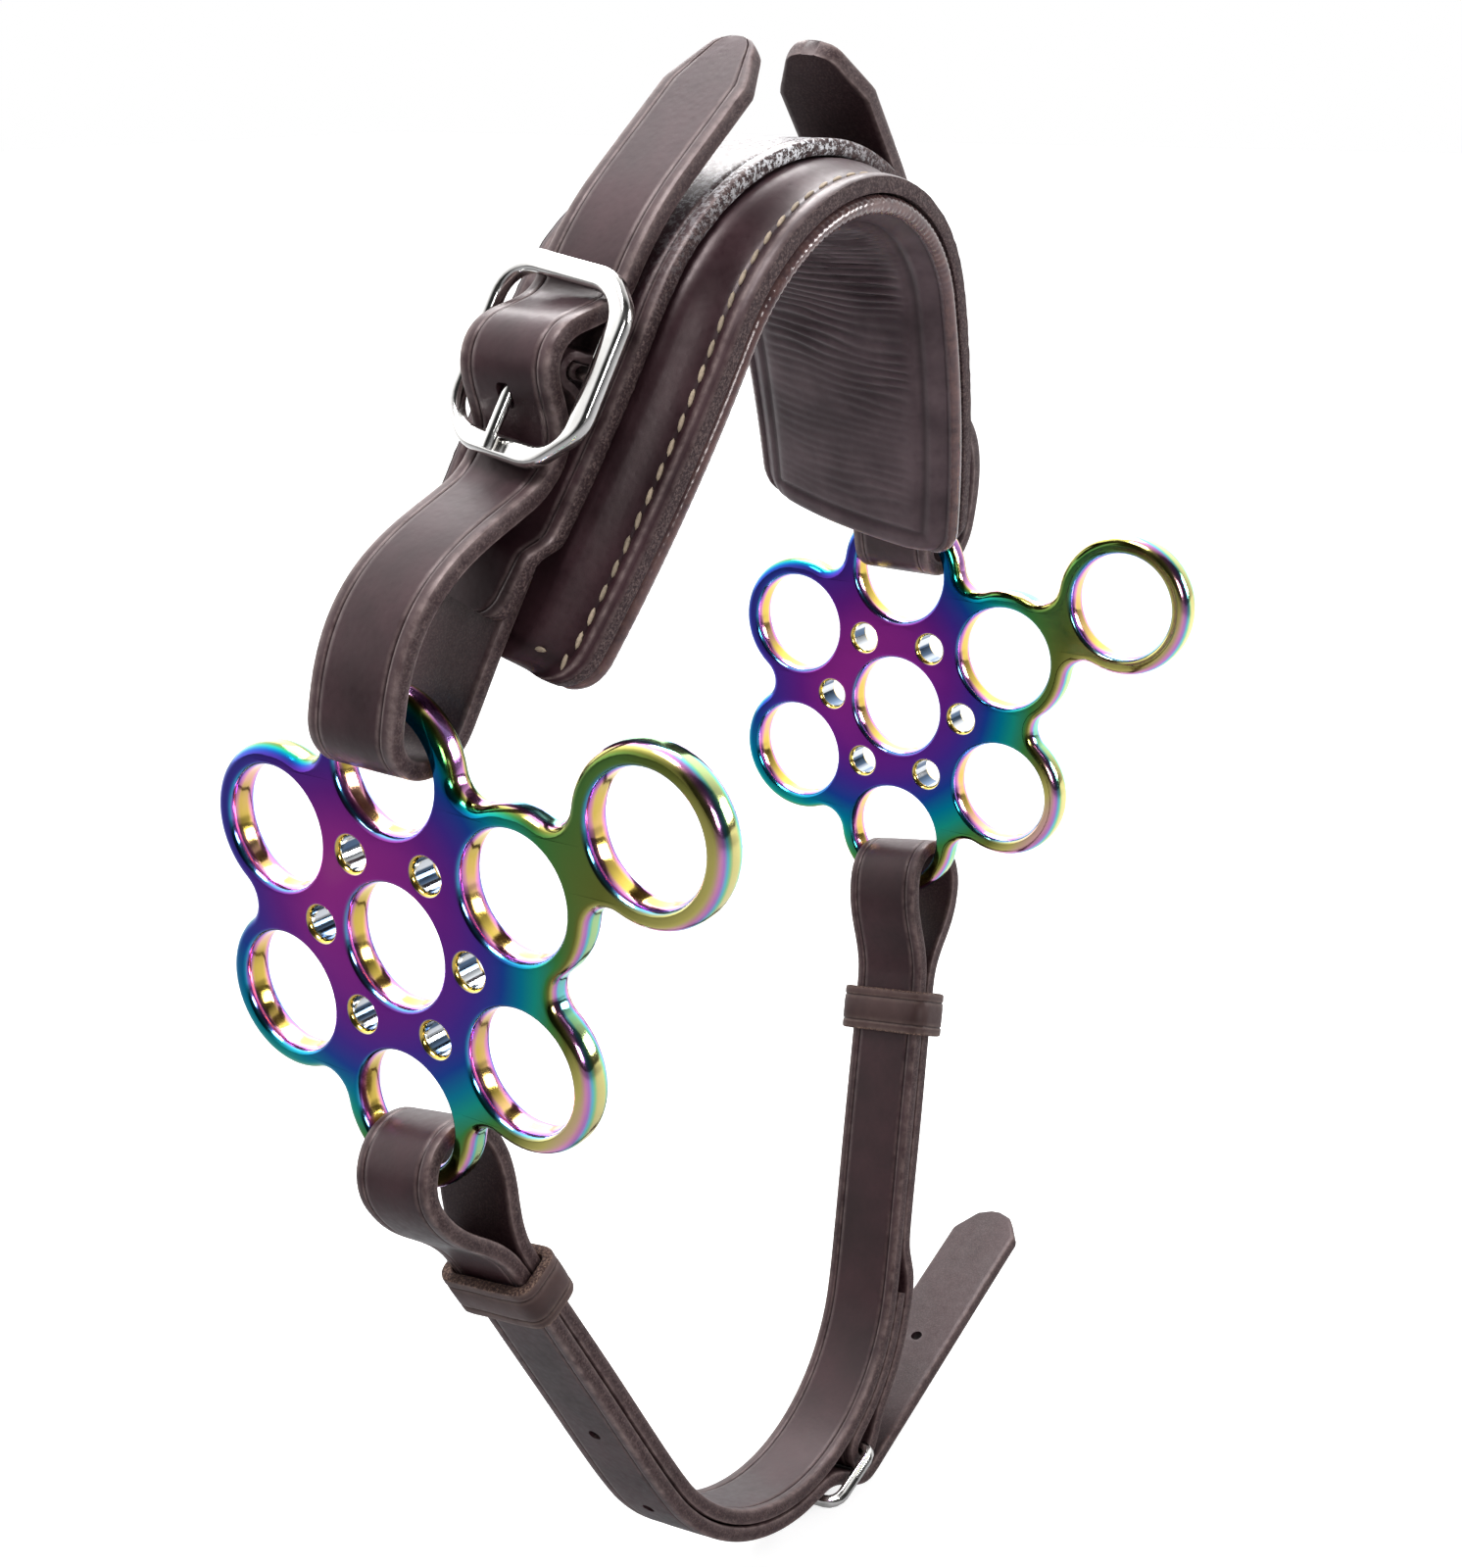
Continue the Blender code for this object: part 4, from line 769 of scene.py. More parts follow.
class Nodes:
    """A node tree that is filled by short calls."""

    def __init__(self, tree: bpy.types.NodeTree) -> None:
        """Take the tree to fill."""
        self.tree = tree

    @cached_property
    def place(self) -> bpy.types.NodeSocket:
        """Where a point lies on the object."""
        return self.add("TexCoord").outputs["Object"]

    def feed(self, socket: bpy.types.NodeSocket, value: Value) -> None:
        """Link an output to an input, or give the input a plain value.

        Args:
            socket: the input.
            value: the output or the plain value.
        """
        if isinstance(value, bpy.types.NodeSocket):
            self.tree.links.new(value, socket)
        else:
            socket.default_value = value

    def add(self, kind: str, label: str = "", **settings: object) -> bpy.types.Node:
        """Add a node and set its properties and its inputs.

        Args:
            kind: Blender's node type without its prefix.
            label: a name that tells what the node is for.
            settings: node properties; names that start with in_ are inputs, fed links or values.

        Returns:
            The new node.
        """
        node = self.tree.nodes.new("ShaderNode" + kind)
        node.label = label
        for key, value in settings.items():
            if key.startswith("in_"):
                tag = key[3:].replace("_", " ")
                self.feed(node.inputs[int(tag) if tag.isdigit() else tag], value)
            else:
                setattr(node, key, value)
        return node

    def math(self, operation: str, first: Value, second: Value = 0.0,
             third: Value = 0.0) -> bpy.types.NodeSocket:
        """Add one step of arithmetic and give its result."""
        node = self.add("Math", operation=operation, in_0=first, in_1=second, in_2=third)
        return node.outputs[0]

    def mix(self, share: Value, first: Value, second: Value) -> bpy.types.NodeSocket:
        """Mix two colours and give the result."""
        node = self.add("Mix", data_type="RGBA", in_0=share, in_6=first, in_7=second)
        return node.outputs[2]

    def spread(self, value: Value, low: float, high: float, to_low: float = 0.0,
               to_high: float = 1.0) -> bpy.types.NodeSocket:
        """Map a range of a value onto another range, clamped."""
        node = self.add("MapRange", in_0=value, in_1=low, in_2=high, in_3=to_low, in_4=to_high)
        return node.outputs[0]

    def ramp(self, value: Value, stops: list[tuple[float, Colour]]) -> bpy.types.NodeSocket:
        """Map a value to colours.

        Args:
            value: what is mapped.
            stops: values with their colours, in order.

        Returns:
            The colour.
        """
        node = self.add("ValToRGB", in_0=value)
        elements = node.color_ramp.elements
        elements[0].position, elements[-1].position = stops[0][0], stops[-1][0]
        for place, _ in stops[1:-1]:
            elements.new(place)
        for element, (_, colour) in zip(elements, stops):
            element.color = (*colour, 1.0)
        return node.outputs[0]

    def mark(self, name: str) -> bpy.types.NodeSocket:
        """Read a number kept on the mesh."""
        return self.add("Attribute", attribute_name=name).outputs["Fac"]

    def noise(self, label: str, scale: Value, detail: float,
              roughness: float = 0.5) -> bpy.types.NodeSocket:
        """Add cloudy noise over the object and give its value.

        Args:
            label: the node's label.
            scale: how fine the clouds are.
            detail: how many finer layers it has.
            roughness: how strong those are.

        Returns:
            The noise's value.
        """
        node = self.add("TexNoise", label, in_Vector=self.place, in_Scale=scale, in_Detail=detail,
                        in_Roughness=roughness)
        return node.outputs["Fac"]

    def pebbles(self, label: str, scale: Value) -> bpy.types.NodeSocket:
        """Add soft round cells over the object and give the distance from their middles.

        Args:
            label: the node's label.
            scale: how small the cells are.

        Returns:
            The distance.
        """
        node = self.add("TexVoronoi", label, feature="SMOOTH_F1", in_Vector=self.place,
                        in_Scale=scale)
        return node.outputs["Distance"]

    def surface(self, shader: bpy.types.Node, colour: Value, roughness: Value, height: Value,
                strength: float, depth: float) -> None:
        """Feed a shader's colour, roughness and relief.

        Args:
            shader: the Principled shader.
            colour: its base colour.
            roughness: its roughness.
            height: the relief's height.
            strength: how much of the relief shows.
            depth: the relief's depth in metres.
        """
        bump = self.add("Bump", in_Height=height, in_Strength=strength, in_Distance=depth)
        self.feed(shader.inputs["Base Color"], colour)
        self.feed(shader.inputs["Roughness"], roughness)
        self.feed(shader.inputs["Normal"], bump.outputs["Normal"])


def make_group(name: str, inputs: dict[str, tuple[str, object]],
               outputs: dict[str, str]) -> tuple[Nodes, bpy.types.Node, bpy.types.Node]:
    """Start a node group with named sockets.

    Args:
        name: the group's name.
        inputs: socket names with their type and default.
        outputs: socket names with their type.

    Returns:
        The tree's filler, and its input and output nodes.
    """
    tree = bpy.data.node_groups.new(name, "ShaderNodeTree")
    for socket, (kind, default) in inputs.items():
        made = tree.interface.new_socket(socket, in_out="INPUT", socket_type="NodeSocket" + kind)
        made.default_value = default
    for socket, kind in outputs.items():
        tree.interface.new_socket(socket, in_out="OUTPUT", socket_type="NodeSocket" + kind)
    return Nodes(tree), tree.nodes.new("NodeGroupInput"), tree.nodes.new("NodeGroupOutput")


def make_grain_group() -> bpy.types.NodeTree:
    """Leather grain: fine pebbles and pores, long folds and a slow mottle.

    Returns:
        The node group.
    """
    nodes, source, sink = make_group(
        "leather_grain", {"Scale": ("Float", 900.0)},
        {"Height": "Float", "Mottle": "Float", "Speckle": "Float"})
    scale = source.outputs["Scale"]
    folds = nodes.noise("folds", nodes.math("MULTIPLY", scale, 0.35), 6.0, 0.6)
    height = nodes.math("MULTIPLY_ADD", nodes.pebbles("pebbles", scale), 0.55, folds)
    nodes.feed(sink.inputs["Height"], height)
    nodes.feed(sink.inputs["Mottle"], nodes.noise("mottle", 70.0, 4.0, 0.55))
    nodes.feed(sink.inputs["Speckle"], nodes.noise("fibres", 2400.0, 3.0, 0.7))
    return nodes.tree


def make_wear_and_highlight_group() -> bpy.types.NodeTree:
    """Rubbed edges and painted highlights: mixes a lighter colour in where their mark and a patchy
    mask agree.

    Returns:
        The node group.
    """
    nodes, source, sink = make_group(
        "edge_wear_and_highlight", {"Colour": ("Color", (0, 0, 0, 1)), "Worn": ("Color", (1, 1, 1, 1)),
                      "Wear": ("Float", 0.0), "Patch scale": ("Float", 400.0)},
        {"Colour": "Color", "Mask": "Float"})
    patches = nodes.noise("patches", source.outputs["Patch scale"], 4.0, 0.65)
    mask = nodes.math("MULTIPLY", source.outputs["Wear"],
                      nodes.spread(patches, 0.35, 0.65, 0.25, 1.0))
    nodes.feed(sink.inputs["Colour"],
               nodes.mix(mask, source.outputs["Colour"], source.outputs["Worn"]))
    nodes.feed(sink.inputs["Mask"], mask)
    return nodes.tree


def start_material(name: str) -> tuple[bpy.types.Material, Nodes, bpy.types.Node]:
    """Start a material with its Principled shader.

    Args:
        name: the material's name.

    Returns:
        The material, its nodes and its shader.
    """
    material = bpy.data.materials.new(name)
    material.use_nodes = True
    tree = material.node_tree
    return material, Nodes(tree), tree.nodes["Principled BSDF"]


def opaque(colour: Colour, share: float = 1.0) -> tuple[float, float, float, float]:
    """A colour, darker by a share, as nodes take it."""
    return (*(share * part for part in colour), 1.0)


@dataclass(frozen=True)
class Leather:
    """Waxed leather with grain, rubbed edges, painted highlight lines, creases with painted shade
    and raw cut edges.
    """

    name: str
    colour: Colour
    shade: Colour
    # Lighter colour of rubbed places, also used to paint highlights on ridges, crease lines and
    # bead
    worn: Colour
    raw: Colour
    roughness: float
    grain_scale: float
    bump: float
    wear_and_highlight_strength: float = 0.55
    raw_share: float = 0.85
    flake_colour: Colour = (0.72, 0.73, 0.76)
    gloss_share: float = 0.6
    specular: float = 0.34
    specular_tint: Colour = (1.0, 0.84, 0.84)
    relief: float = 0.12 * MM

    def make(self, grain: bpy.types.NodeTree, wear: bpy.types.NodeTree) -> bpy.types.Material:
        """Build the material.

        Args:
            grain: the leather grain group.
            wear: the group that mixes in the lighter colour of rubbed places and painted
                highlights.

        Returns:
            The finished material.
        """
        material, nodes, shader = start_material(self.name)
        shade = opaque(self.shade)
        texture = nodes.add("Group", "grain", node_tree=grain, in_Scale=self.grain_scale).outputs
        flesh, sheen = nodes.mark("flesh"), nodes.mark("sheen")
        base = nodes.mix(nodes.spread(texture["Mottle"], 0.35, 0.68), shade, opaque(self.colour))
        base = nodes.mix(nodes.spread(texture["Height"], 0.35, 0.75, 0.45, 0.0), base, shade)
        # Painted shade: grooves, seams and fold valleys are darkened
        base = nodes.mix(nodes.math("MULTIPLY", nodes.mark("groove_shade"), 0.75), base,
                         opaque(self.shade, 0.4))
        # Lighter colour where rubbed, and painted highlight on ridges, crease lines and the
        # lining's bead
        rubbed_and_highlight = nodes.math("MULTIPLY", nodes.mark("wear"), self.wear_and_highlight_strength)
        worn = nodes.add("Group", "wear", node_tree=wear, in_Colour=base,
                         in_Worn=opaque(self.worn), in_Wear=rubbed_and_highlight)
        raw = nodes.mix(nodes.spread(texture["Speckle"], 0.46, 0.66), shade, opaque(self.raw))
        colour = nodes.mix(nodes.math("MULTIPLY", flesh, self.raw_share),
                           worn.outputs["Colour"], raw)
        flakes = nodes.noise("flakes", 1100.0, 4.0, 0.75)
        cracks = nodes.math("MULTIPLY", nodes.mark("crackle"), nodes.spread(flakes, 0.50, 0.56))
        colour = nodes.mix(cracks, colour, opaque(self.flake_colour))
        rough = nodes.math("MULTIPLY_ADD", texture["Height"], 0.18, self.roughness - 0.12)
        rough = nodes.math("MULTIPLY_ADD", flesh, 0.3, rough)
        rough = nodes.math("MULTIPLY_ADD", sheen, -0.22, rough)
        fibre = nodes.math("MULTIPLY", texture["Speckle"], nodes.math("MULTIPLY", flesh, 1.6))
        nodes.surface(shader, colour, rough, nodes.math("ADD", texture["Height"], fibre),
                      self.bump, self.relief)
        nodes.feed(shader.inputs["Coat Weight"], nodes.math("MULTIPLY", sheen, self.gloss_share))
        nodes.feed(shader.inputs["Coat Roughness"], 0.18)
        nodes.feed(shader.inputs["Specular IOR Level"], self.specular)
        nodes.feed(shader.inputs["Specular Tint"], opaque(self.specular_tint))
        return material


# Tints of the coat by film thickness, over faces and rounded rims, and from a bore's edge inwards
FILM_TINTS = [(0.0, (0.75, 0.50, 0.12)), (0.10, (0.75, 0.25, 0.40)), (0.20, (0.36, 0.03, 0.30)),
              (0.32, (0.17, 0.02, 0.28)), (0.42, (0.07, 0.03, 0.32)), (0.52, (0.012, 0.06, 0.34)),
              (0.61, (0.0, 0.22, 0.36)), (0.69, (0.01, 0.34, 0.26)), (0.78, (0.05, 0.24, 0.06)),
              (0.88, (0.16, 0.18, 0.035)), (0.97, (0.62, 0.55, 0.16)), (1.06, (0.88, 0.38, 0.60)),
              (1.16, (0.62, 0.28, 0.78)), (1.27, (0.18, 0.68, 0.85)), (1.38, (0.35, 0.80, 0.40)),
              (1.50, (0.85, 0.78, 0.30))]
BORE_TINTS = [(0.0, (0.03, 0.14, 0.34)), (0.16, (0.05, 0.52, 0.80)), (0.32, (0.34, 0.16, 0.72)),
              (0.50, (0.82, 0.28, 0.68)), (0.68, (0.95, 0.42, 0.50)), (0.86, (0.95, 0.62, 0.22)),
              (1.0, (0.85, 0.62, 0.12))]


@dataclass(frozen=True)
class CoatedSteel:
    """Polished steel under a rainbow coat whose colour runs over the wheel and its edges."""

    name: str = "coated_steel_rainbow"
    centre_y: float = 15.7 * MM
    centre_z: float = -107.5 * MM
    middle_film: float = 0.29
    outer_film: float = 0.45
    forward_film: float = 5.0
    upward_film: float = -3.8
    rim_film: float = 0.55
    film_drift: float = 0.14
    gilt: Colour = (0.80, 0.58, 0.14)
    dark_stripe: Colour = (0.10, 0.16, 0.26)
    bright_stripe: Colour = (0.80, 0.84, 0.88)

    def film(self, nodes: Nodes, forward: bpy.types.NodeSocket,
             up: bpy.types.NodeSocket) -> bpy.types.NodeSocket:
        """Thickness of the coat.

        Args:
            nodes: the material's nodes.
            forward: distance from the wheel's middle towards the rein ring's side.
            up: distance above the middle.

        Returns:
            The thickness, as FILM_TINTS counts it.
        """
        squares = nodes.math("ADD", nodes.math("MULTIPLY", forward, forward),
                             nodes.math("MULTIPLY", up, up))
        outer = nodes.add("MapRange", interpolation_type="SMOOTHSTEP",
                          in_0=nodes.math("SQRT", squares), in_1=0.012, in_2=0.045).outputs[0]
        film = nodes.math("MULTIPLY_ADD", outer, self.outer_film, self.middle_film)
        film = nodes.math("MULTIPLY_ADD", forward, self.forward_film, film)
        film = nodes.math("MULTIPLY_ADD", up, self.upward_film, film)
        film = nodes.math("SUBTRACT", film, self.film_drift / 2)
        film = nodes.math("MULTIPLY_ADD", nodes.noise("drift", 28.0, 2.0), self.film_drift, film)
        return nodes.math("MULTIPLY_ADD", nodes.mark("rim"), self.rim_film, film)

    def make(self) -> bpy.types.Material:
        """Build the material.

        Returns:
            The new material.
        """
        material, nodes, shader = start_material(self.name)
        parts = nodes.add("SeparateXYZ", in_Vector=nodes.place).outputs
        forward = nodes.math("SUBTRACT", self.centre_y, parts["Y"])
        up = nodes.math("SUBTRACT", parts["Z"], self.centre_z)
        thickest = FILM_TINTS[-1][0]
        faces = nodes.ramp(nodes.math("DIVIDE", self.film(nodes, forward, up), thickest),
                           [(stop / thickest, tint) for stop, tint in FILM_TINTS])
        bore = nodes.mark("bore")
        wavy = nodes.spread(nodes.noise("bore tones", 120.0, 1.0), 0.35, 0.65, 0.78, 1.12)
        walls = nodes.ramp(nodes.math("MULTIPLY", bore, wavy), BORE_TINTS)
        colour = nodes.mix(nodes.spread(bore, 0.0, 0.25), faces, walls)
        colour = nodes.mix(nodes.mark("gilt"), colour, opaque(self.gilt))
        slant = nodes.math("MULTIPLY_ADD", up, 1900.0, nodes.math("MULTIPLY", forward, 900.0))
        steel = nodes.mix(nodes.spread(nodes.math("SINE", slant), -0.3, 0.3),
                          opaque(self.dark_stripe), opaque(self.bright_stripe))
        smear = nodes.noise("polish", 350.0, 3.0)
        nodes.surface(shader, nodes.mix(nodes.mark("bare"), colour, steel),
                      nodes.spread(smear, 0.3, 0.7, 0.09, 0.17), smear, 0.12, 0.1 * MM)
        nodes.feed(shader.inputs["Metallic"], 1.0)
        return material


@dataclass(frozen=True)
class Nickel:
    """Bright nickel plate with soft dents and fine marks."""

    name: str = "nickel_plate_bright"
    colour: Colour = (0.74, 0.73, 0.71)

    def make(self) -> bpy.types.Material:
        """Build the material.

        Returns:
            The new material.
        """
        material, nodes, shader = start_material(self.name)
        haze = nodes.noise("haze", 300.0, 5.0)
        height = nodes.math("MULTIPLY_ADD", haze, 0.12, nodes.pebbles("dents", 170.0))
        colour = nodes.mix(nodes.spread(haze, 0.3, 0.7), opaque(self.colour, 0.86),
                           opaque(self.colour))
        nodes.surface(shader, colour, nodes.spread(haze, 0.3, 0.75, 0.09, 0.22), height, 0.25,
                      0.25 * MM)
        nodes.feed(shader.inputs["Metallic"], 1.0)
        return material


@dataclass(frozen=True)
class Thread:
    """Waxed sewing thread with its twist."""

    name: str
    colour: Colour

    def make(self) -> bpy.types.Material:
        """Build the material.

        Returns:
            The new material.
        """
        material, nodes, shader = start_material(self.name)
        twist = nodes.noise("twist", 1800.0, 3.0)
        soil = nodes.spread(nodes.noise("soil", 90.0, 3.0), 0.35, 0.65)
        colour = nodes.mix(soil, opaque(self.colour), opaque(self.colour, 0.55))
        colour = nodes.mix(nodes.spread(twist, 0.45, 0.75, 0.0, 0.6), colour,
                           opaque(self.colour, 0.3))
        nodes.surface(shader, colour, 0.7, twist, 0.5, 0.1 * MM)
        return material


@dataclass
class Finishes:
    """Every material of the hackamore, made once."""

    bridle: bpy.types.Material = field(init=False)
    lining: bpy.types.Material = field(init=False)
    chin: bpy.types.Material = field(init=False)
    keeper: bpy.types.Material = field(init=False)
    steel: bpy.types.Material = field(init=False)
    nickel: bpy.types.Material = field(init=False)
    thread: bpy.types.Material = field(init=False)
    dark_thread: bpy.types.Material = field(init=False)

    def __post_init__(self) -> None:
        """Build the shared groups and the materials."""
        groups = make_grain_group(), make_wear_and_highlight_group()
        self.bridle = Leather(
            "havana_bridle_leather", colour=(0.035, 0.015, 0.019), shade=(0.014, 0.005, 0.007),
            worn=(0.26, 0.20, 0.19), raw=(0.11, 0.075, 0.07), roughness=0.38, grain_scale=900.0,
            bump=0.32, wear_and_highlight_strength=0.65).make(*groups)
        self.lining = Leather(
            "soft_lining_leather", colour=(0.070, 0.046, 0.053), shade=(0.026, 0.015, 0.019),
            worn=(0.13, 0.07, 0.062), raw=(0.10, 0.08, 0.07), roughness=0.40, grain_scale=650.0,
            bump=0.45, wear_and_highlight_strength=0.8).make(*groups)
        self.chin = Leather(
            "chin_bridle_leather", colour=(0.028, 0.010, 0.013), shade=(0.011, 0.0035, 0.005),
            worn=(0.22, 0.16, 0.15), raw=(0.10, 0.065, 0.06), roughness=0.40, grain_scale=900.0,
            bump=0.32, wear_and_highlight_strength=0.6).make(*groups)
        self.keeper = Leather(
            "keeper_leather", colour=(0.058, 0.032, 0.030), shade=(0.028, 0.014, 0.013),
            worn=(0.17, 0.12, 0.10), raw=(0.24, 0.15, 0.11), roughness=0.50, grain_scale=900.0,
            bump=0.35).make(*groups)
        self.steel = CoatedSteel().make()
        self.nickel = Nickel().make()
        self.thread = Thread("beige_thread", (0.36, 0.28, 0.20)).make()
        self.dark_thread = Thread("brown_thread", (0.035, 0.022, 0.022)).make()


def dress(thing: bpy.types.Object, material: bpy.types.Material, body: str, slot: str,
          *nodes: str) -> bpy.types.Object:
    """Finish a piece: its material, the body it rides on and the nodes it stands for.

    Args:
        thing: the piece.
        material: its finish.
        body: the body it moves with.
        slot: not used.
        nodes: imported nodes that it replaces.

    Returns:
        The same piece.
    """
    thing.data.materials.clear()
    thing.data.materials.append(material)
    for polygon in thing.data.polygons:
        polygon.material_index = 0
    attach(thing, body)
    if nodes:
        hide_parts(*nodes)
    LOG.info("%s: %d faces on %s", thing.name, len(thing.data.polygons), body)
    return thing


# Pieces

@dataclass
class Noseband:
    """The padded noseband: base leather, pad with lining, raised overlay and their seams."""

    finishes: Finishes
    radius: float = 39.5 * MM
    leg_angle: float = math.radians(26.5)
    leg_length: float = 53.0 * MM
    width: float = 48.0 * MM
    depth: float = 9.5 * MM
    crescent: float = 15.2 * MM
    rear_draw: float = 4.5 * MM
    corner: float = 7.0 * MM
    base_thickness: float = 3.0 * MM
    crown: float = 4.5 * MM
    crown_middle_share: float = 0.5
    crown_top_width: float = 27.5 * MM
    crown_foot_width: float = 40.0 * MM
    overlay_thickness: float = 2.8 * MM
    overlay_width: float = 26.5 * MM
    overlay_end_margin: float = 4.5 * MM
    overlay_crease_inset: float = 2.6 * MM
    strap_thickness: float = 3.2 * MM
    strap_tuck: float = 11.3 * MM
    stitch_pitch: float = 3.8 * MM
    stitch_inset: float = 3.9 * MM
    ridge_inset: float = 1.95 * MM
    lining_seam_inset: float = 6.2 * MM
    lining_seam_depth: float = 7.15 * MM
    lip: float = 3.35 * MM
    roll: float = 3.2 * MM
    wrinkle_height: float = 0.34 * MM
    gather_height: float = 0.13 * MM

    @property
    def quarter(self) -> float:
        """Arc length from the middle to where a leg starts."""
        return self.radius * (math.pi / 2 - self.leg_angle)

    @property
    def half(self) -> float:
        """Half of the noseband's length."""
        return self.quarter + self.leg_length

    def arch(self, along: float, height: float) -> tuple[float, float]:
        """Follow the arch.

        Args:
            along: distance along it from the middle.
            height: height off the rim's face.

        Returns:
            X and Z there.
        """
        side = -1 if along < 0 else 1
        turn = min(abs(along), self.quarter) / self.radius
        rest = max(abs(along) - self.quarter, 0.0)
        x = (self.radius + height) * math.sin(turn) + rest * math.cos(turn)
        z = (self.depth - self.radius + (self.radius + height) * math.cos(turn)
             - rest * math.sin(turn))
        return side * x, z

    def place(self, along: float, across: float, height: float) -> Vector:
        """Find a place on the noseband.

        Args:
            along: distance along its middle line.
            across: distance square to that line, backwards above zero.
            height: height off the rim's face.

        Returns:
            The place.
        """
        turn = math.atan(2 * self.crescent * along / self.half ** 2)
        if across > 0:
            across *= 1 - self.rear_draw / (self.width / 2) * (along / self.half) ** 2
        x, z = self.arch(along - across * math.sin(turn), height)
        y = self.crescent * (along / self.half) ** 2 + across * math.cos(turn)
        return Vector((x, y, z))

    def crown_height(self, along: float) -> float:
        """Height of the crown, lower in the middle than on the legs."""
        low = self.crown_middle_share
        return self.crown * (low + (1 - low) * ease(abs(along) / self.quarter))

    def crown_at(self, along: float, across: float) -> float:
        """Height of the crown at a place."""
        foot, top = self.crown_foot_width / 2, self.crown_top_width / 2
        return self.crown_height(along) * ease((foot - abs(across)) / (foot - top))

    def drawn(self, along: float) -> float:
        """Share of the width left at a distance along, for the round corners."""
        return 1 - corner_cut(self.half - abs(along), self.corner) / (self.width / 2)

    def formed(self, name: str, rows: list[float], section: list[tuple], place: Place,
               marks: dict[str, Mark]) -> bpy.types.Object:
        """Form a closed body along the noseband.

        Args:
            name: the piece's name.
            rows: distances along the noseband.
            section: closed list of columns that place and marks read, each with its distance
                across first.
            place: gives a point for a distance along and a column.
            marks: functions of the same arguments for the surface marks.

        Returns:
            The closed mesh object.
        """
        def spot_at(row: int, column: int) -> Spot:
            """Place one point and read its marks.

            Args:
                row: the row's number.
                column: the column's number.

            Returns:
                The point's place and marks.
            """
            spot = rows[row], section[column]
            return Spot(place(*spot), (rows[row], section[column][0]),
                        {mark: function(*spot) for mark, function in marks.items()})
        return form(name, len(rows), len(section), spot_at, degrees=50.0)

    def rows(self, step: float, end: float) -> list[float]:
        """Evenly spaced distances from one end to the other, closer at the ends.

        Args:
            step: about how far apart they are.
            end: distance of each end from the middle.

        Returns:
            The distances in order.
        """
        count = round(2 * end / step)
        spaced = [-end + 2 * end * index / count for index in range(count + 1)]
        near = [end - share * MM for share in (0.25, 0.6)]
        return sorted(spaced + near + [-value for value in near])

    def inner(self, along: float, across: float) -> float:
        """Distance of a place from the nearest edge or end."""
        return min(self.width / 2 - abs(across), self.half - abs(along))

    def stitch_groove(self, along: float, across: float) -> float:
        """How much of the stitch groove's depth a place on the face has."""
        return max(0.0, 1 - abs(self.inner(along, across) - self.stitch_inset) / (0.9 * MM))

    def make_base(self) -> bpy.types.Object:
        """The thick base leather: raised middle, stitched rim and raw cut edges.

        Returns:
            The piece.
        """
        half = self.width / 2
        faces = [1.0, 0.985, 0.965, 0.945, 0.925, 0.905, 0.885, 0.862, 0.84, 0.81, 0.78, 0.74,
                 0.70, 0.66, 0.62, 0.57, 0.50, 0.35, 0.18, 0.0]
        under = [-0.99, -0.84, -0.74, -0.66, -0.57, -0.3, 0.0]
        edge_levels = [0.12, 0.35, 0.6, 0.85]
        section = [(share * half, 0.0) for share in faces]
        section += [(-share * half, 0.0) for share in reversed(faces[:-1])]
        section += [(-half, level) for level in edge_levels]
        section += [(share * half, 1.0) for share in under]
        section += [(-share * half, 1.0) for share in reversed(under[:-1])]
        section += [(half, level) for level in reversed(edge_levels)]

        def place(along: float, column: tuple[float, float]) -> Vector:
            """Give the face its groove, ridge and round edge, and the cut edges their fibres.

            Args:
                along: distance along the noseband.
                column: the section's column.

            Returns:
                The point.
            """
            across, level = column
            height = self.crown_at(along, across)
            edge = half - abs(across)
            if level == 0.0:
                height -= 0.35 * MM * self.stitch_groove(along, across)
                height += 0.18 * MM * bell(edge - self.ridge_inset, 0.45 * MM)
                height -= 0.5 * MM * ease(1 - edge / (0.8 * MM))
            spot = self.place(along, across * self.drawn(along),
                              height - level * self.base_thickness)
            if 0.0 < level < 1.0 or edge < 0.2 * MM:
                rough = noise.noise(spot * 900) + 0.6 * noise.noise(spot * 2100)
                spot += Vector((0, math.copysign(0.14 * MM, across), 0)) * rough
            return spot

        def wear(along: float, column: tuple[float, float]) -> float:
            """Rub the rim, and paint a highlight along the ridge as lighter colour.

            Args:
                along: distance along the noseband.
                column: the section's column.

            Returns:
                How much lighter colour the point gets, for rubbing and painted highlight.
            """
            edge = half - abs(column[0])
            # The ridge's light line is painted highlight; the rim's is rubbing
            rubbed_and_highlight = 0.9 * bell(edge - self.ridge_inset, 0.4 * MM)
            return rubbed_and_highlight + 0.6 * ease(1 - edge / (0.8 * MM)) if column[1] == 0.0 else 0.1

        def flesh(along: float, column: tuple[float, float]) -> float:
            """Leave edges, ends and underside raw.

            Args:
                along: distance along the noseband.
                column: the section's column.

            Returns:
                How raw the point is.
            """
            at_end = ease(1 - (self.half - abs(along)) / (0.5 * MM))
            at_edge = ease(1 - (half - abs(column[0])) / (0.5 * MM))
            return 1.0 if column[1] > 0.0 else max(0.8 * at_end, at_edge)

        def groove_shade(along: float, column: tuple[float, float]) -> float:
            """Paint shade into the stitch groove."""
            return self.stitch_groove(along, column[0]) if column[1] == 0.0 else 0.0
        base = self.formed("noseband_base_leather", self.rows(1.2 * MM, self.half), section,
                           place, {"wear": wear, "flesh": flesh, "groove_shade": groove_shade})
        return dress(base, self.finishes.bridle, "noseband", "havana_leather", "noseband_base")

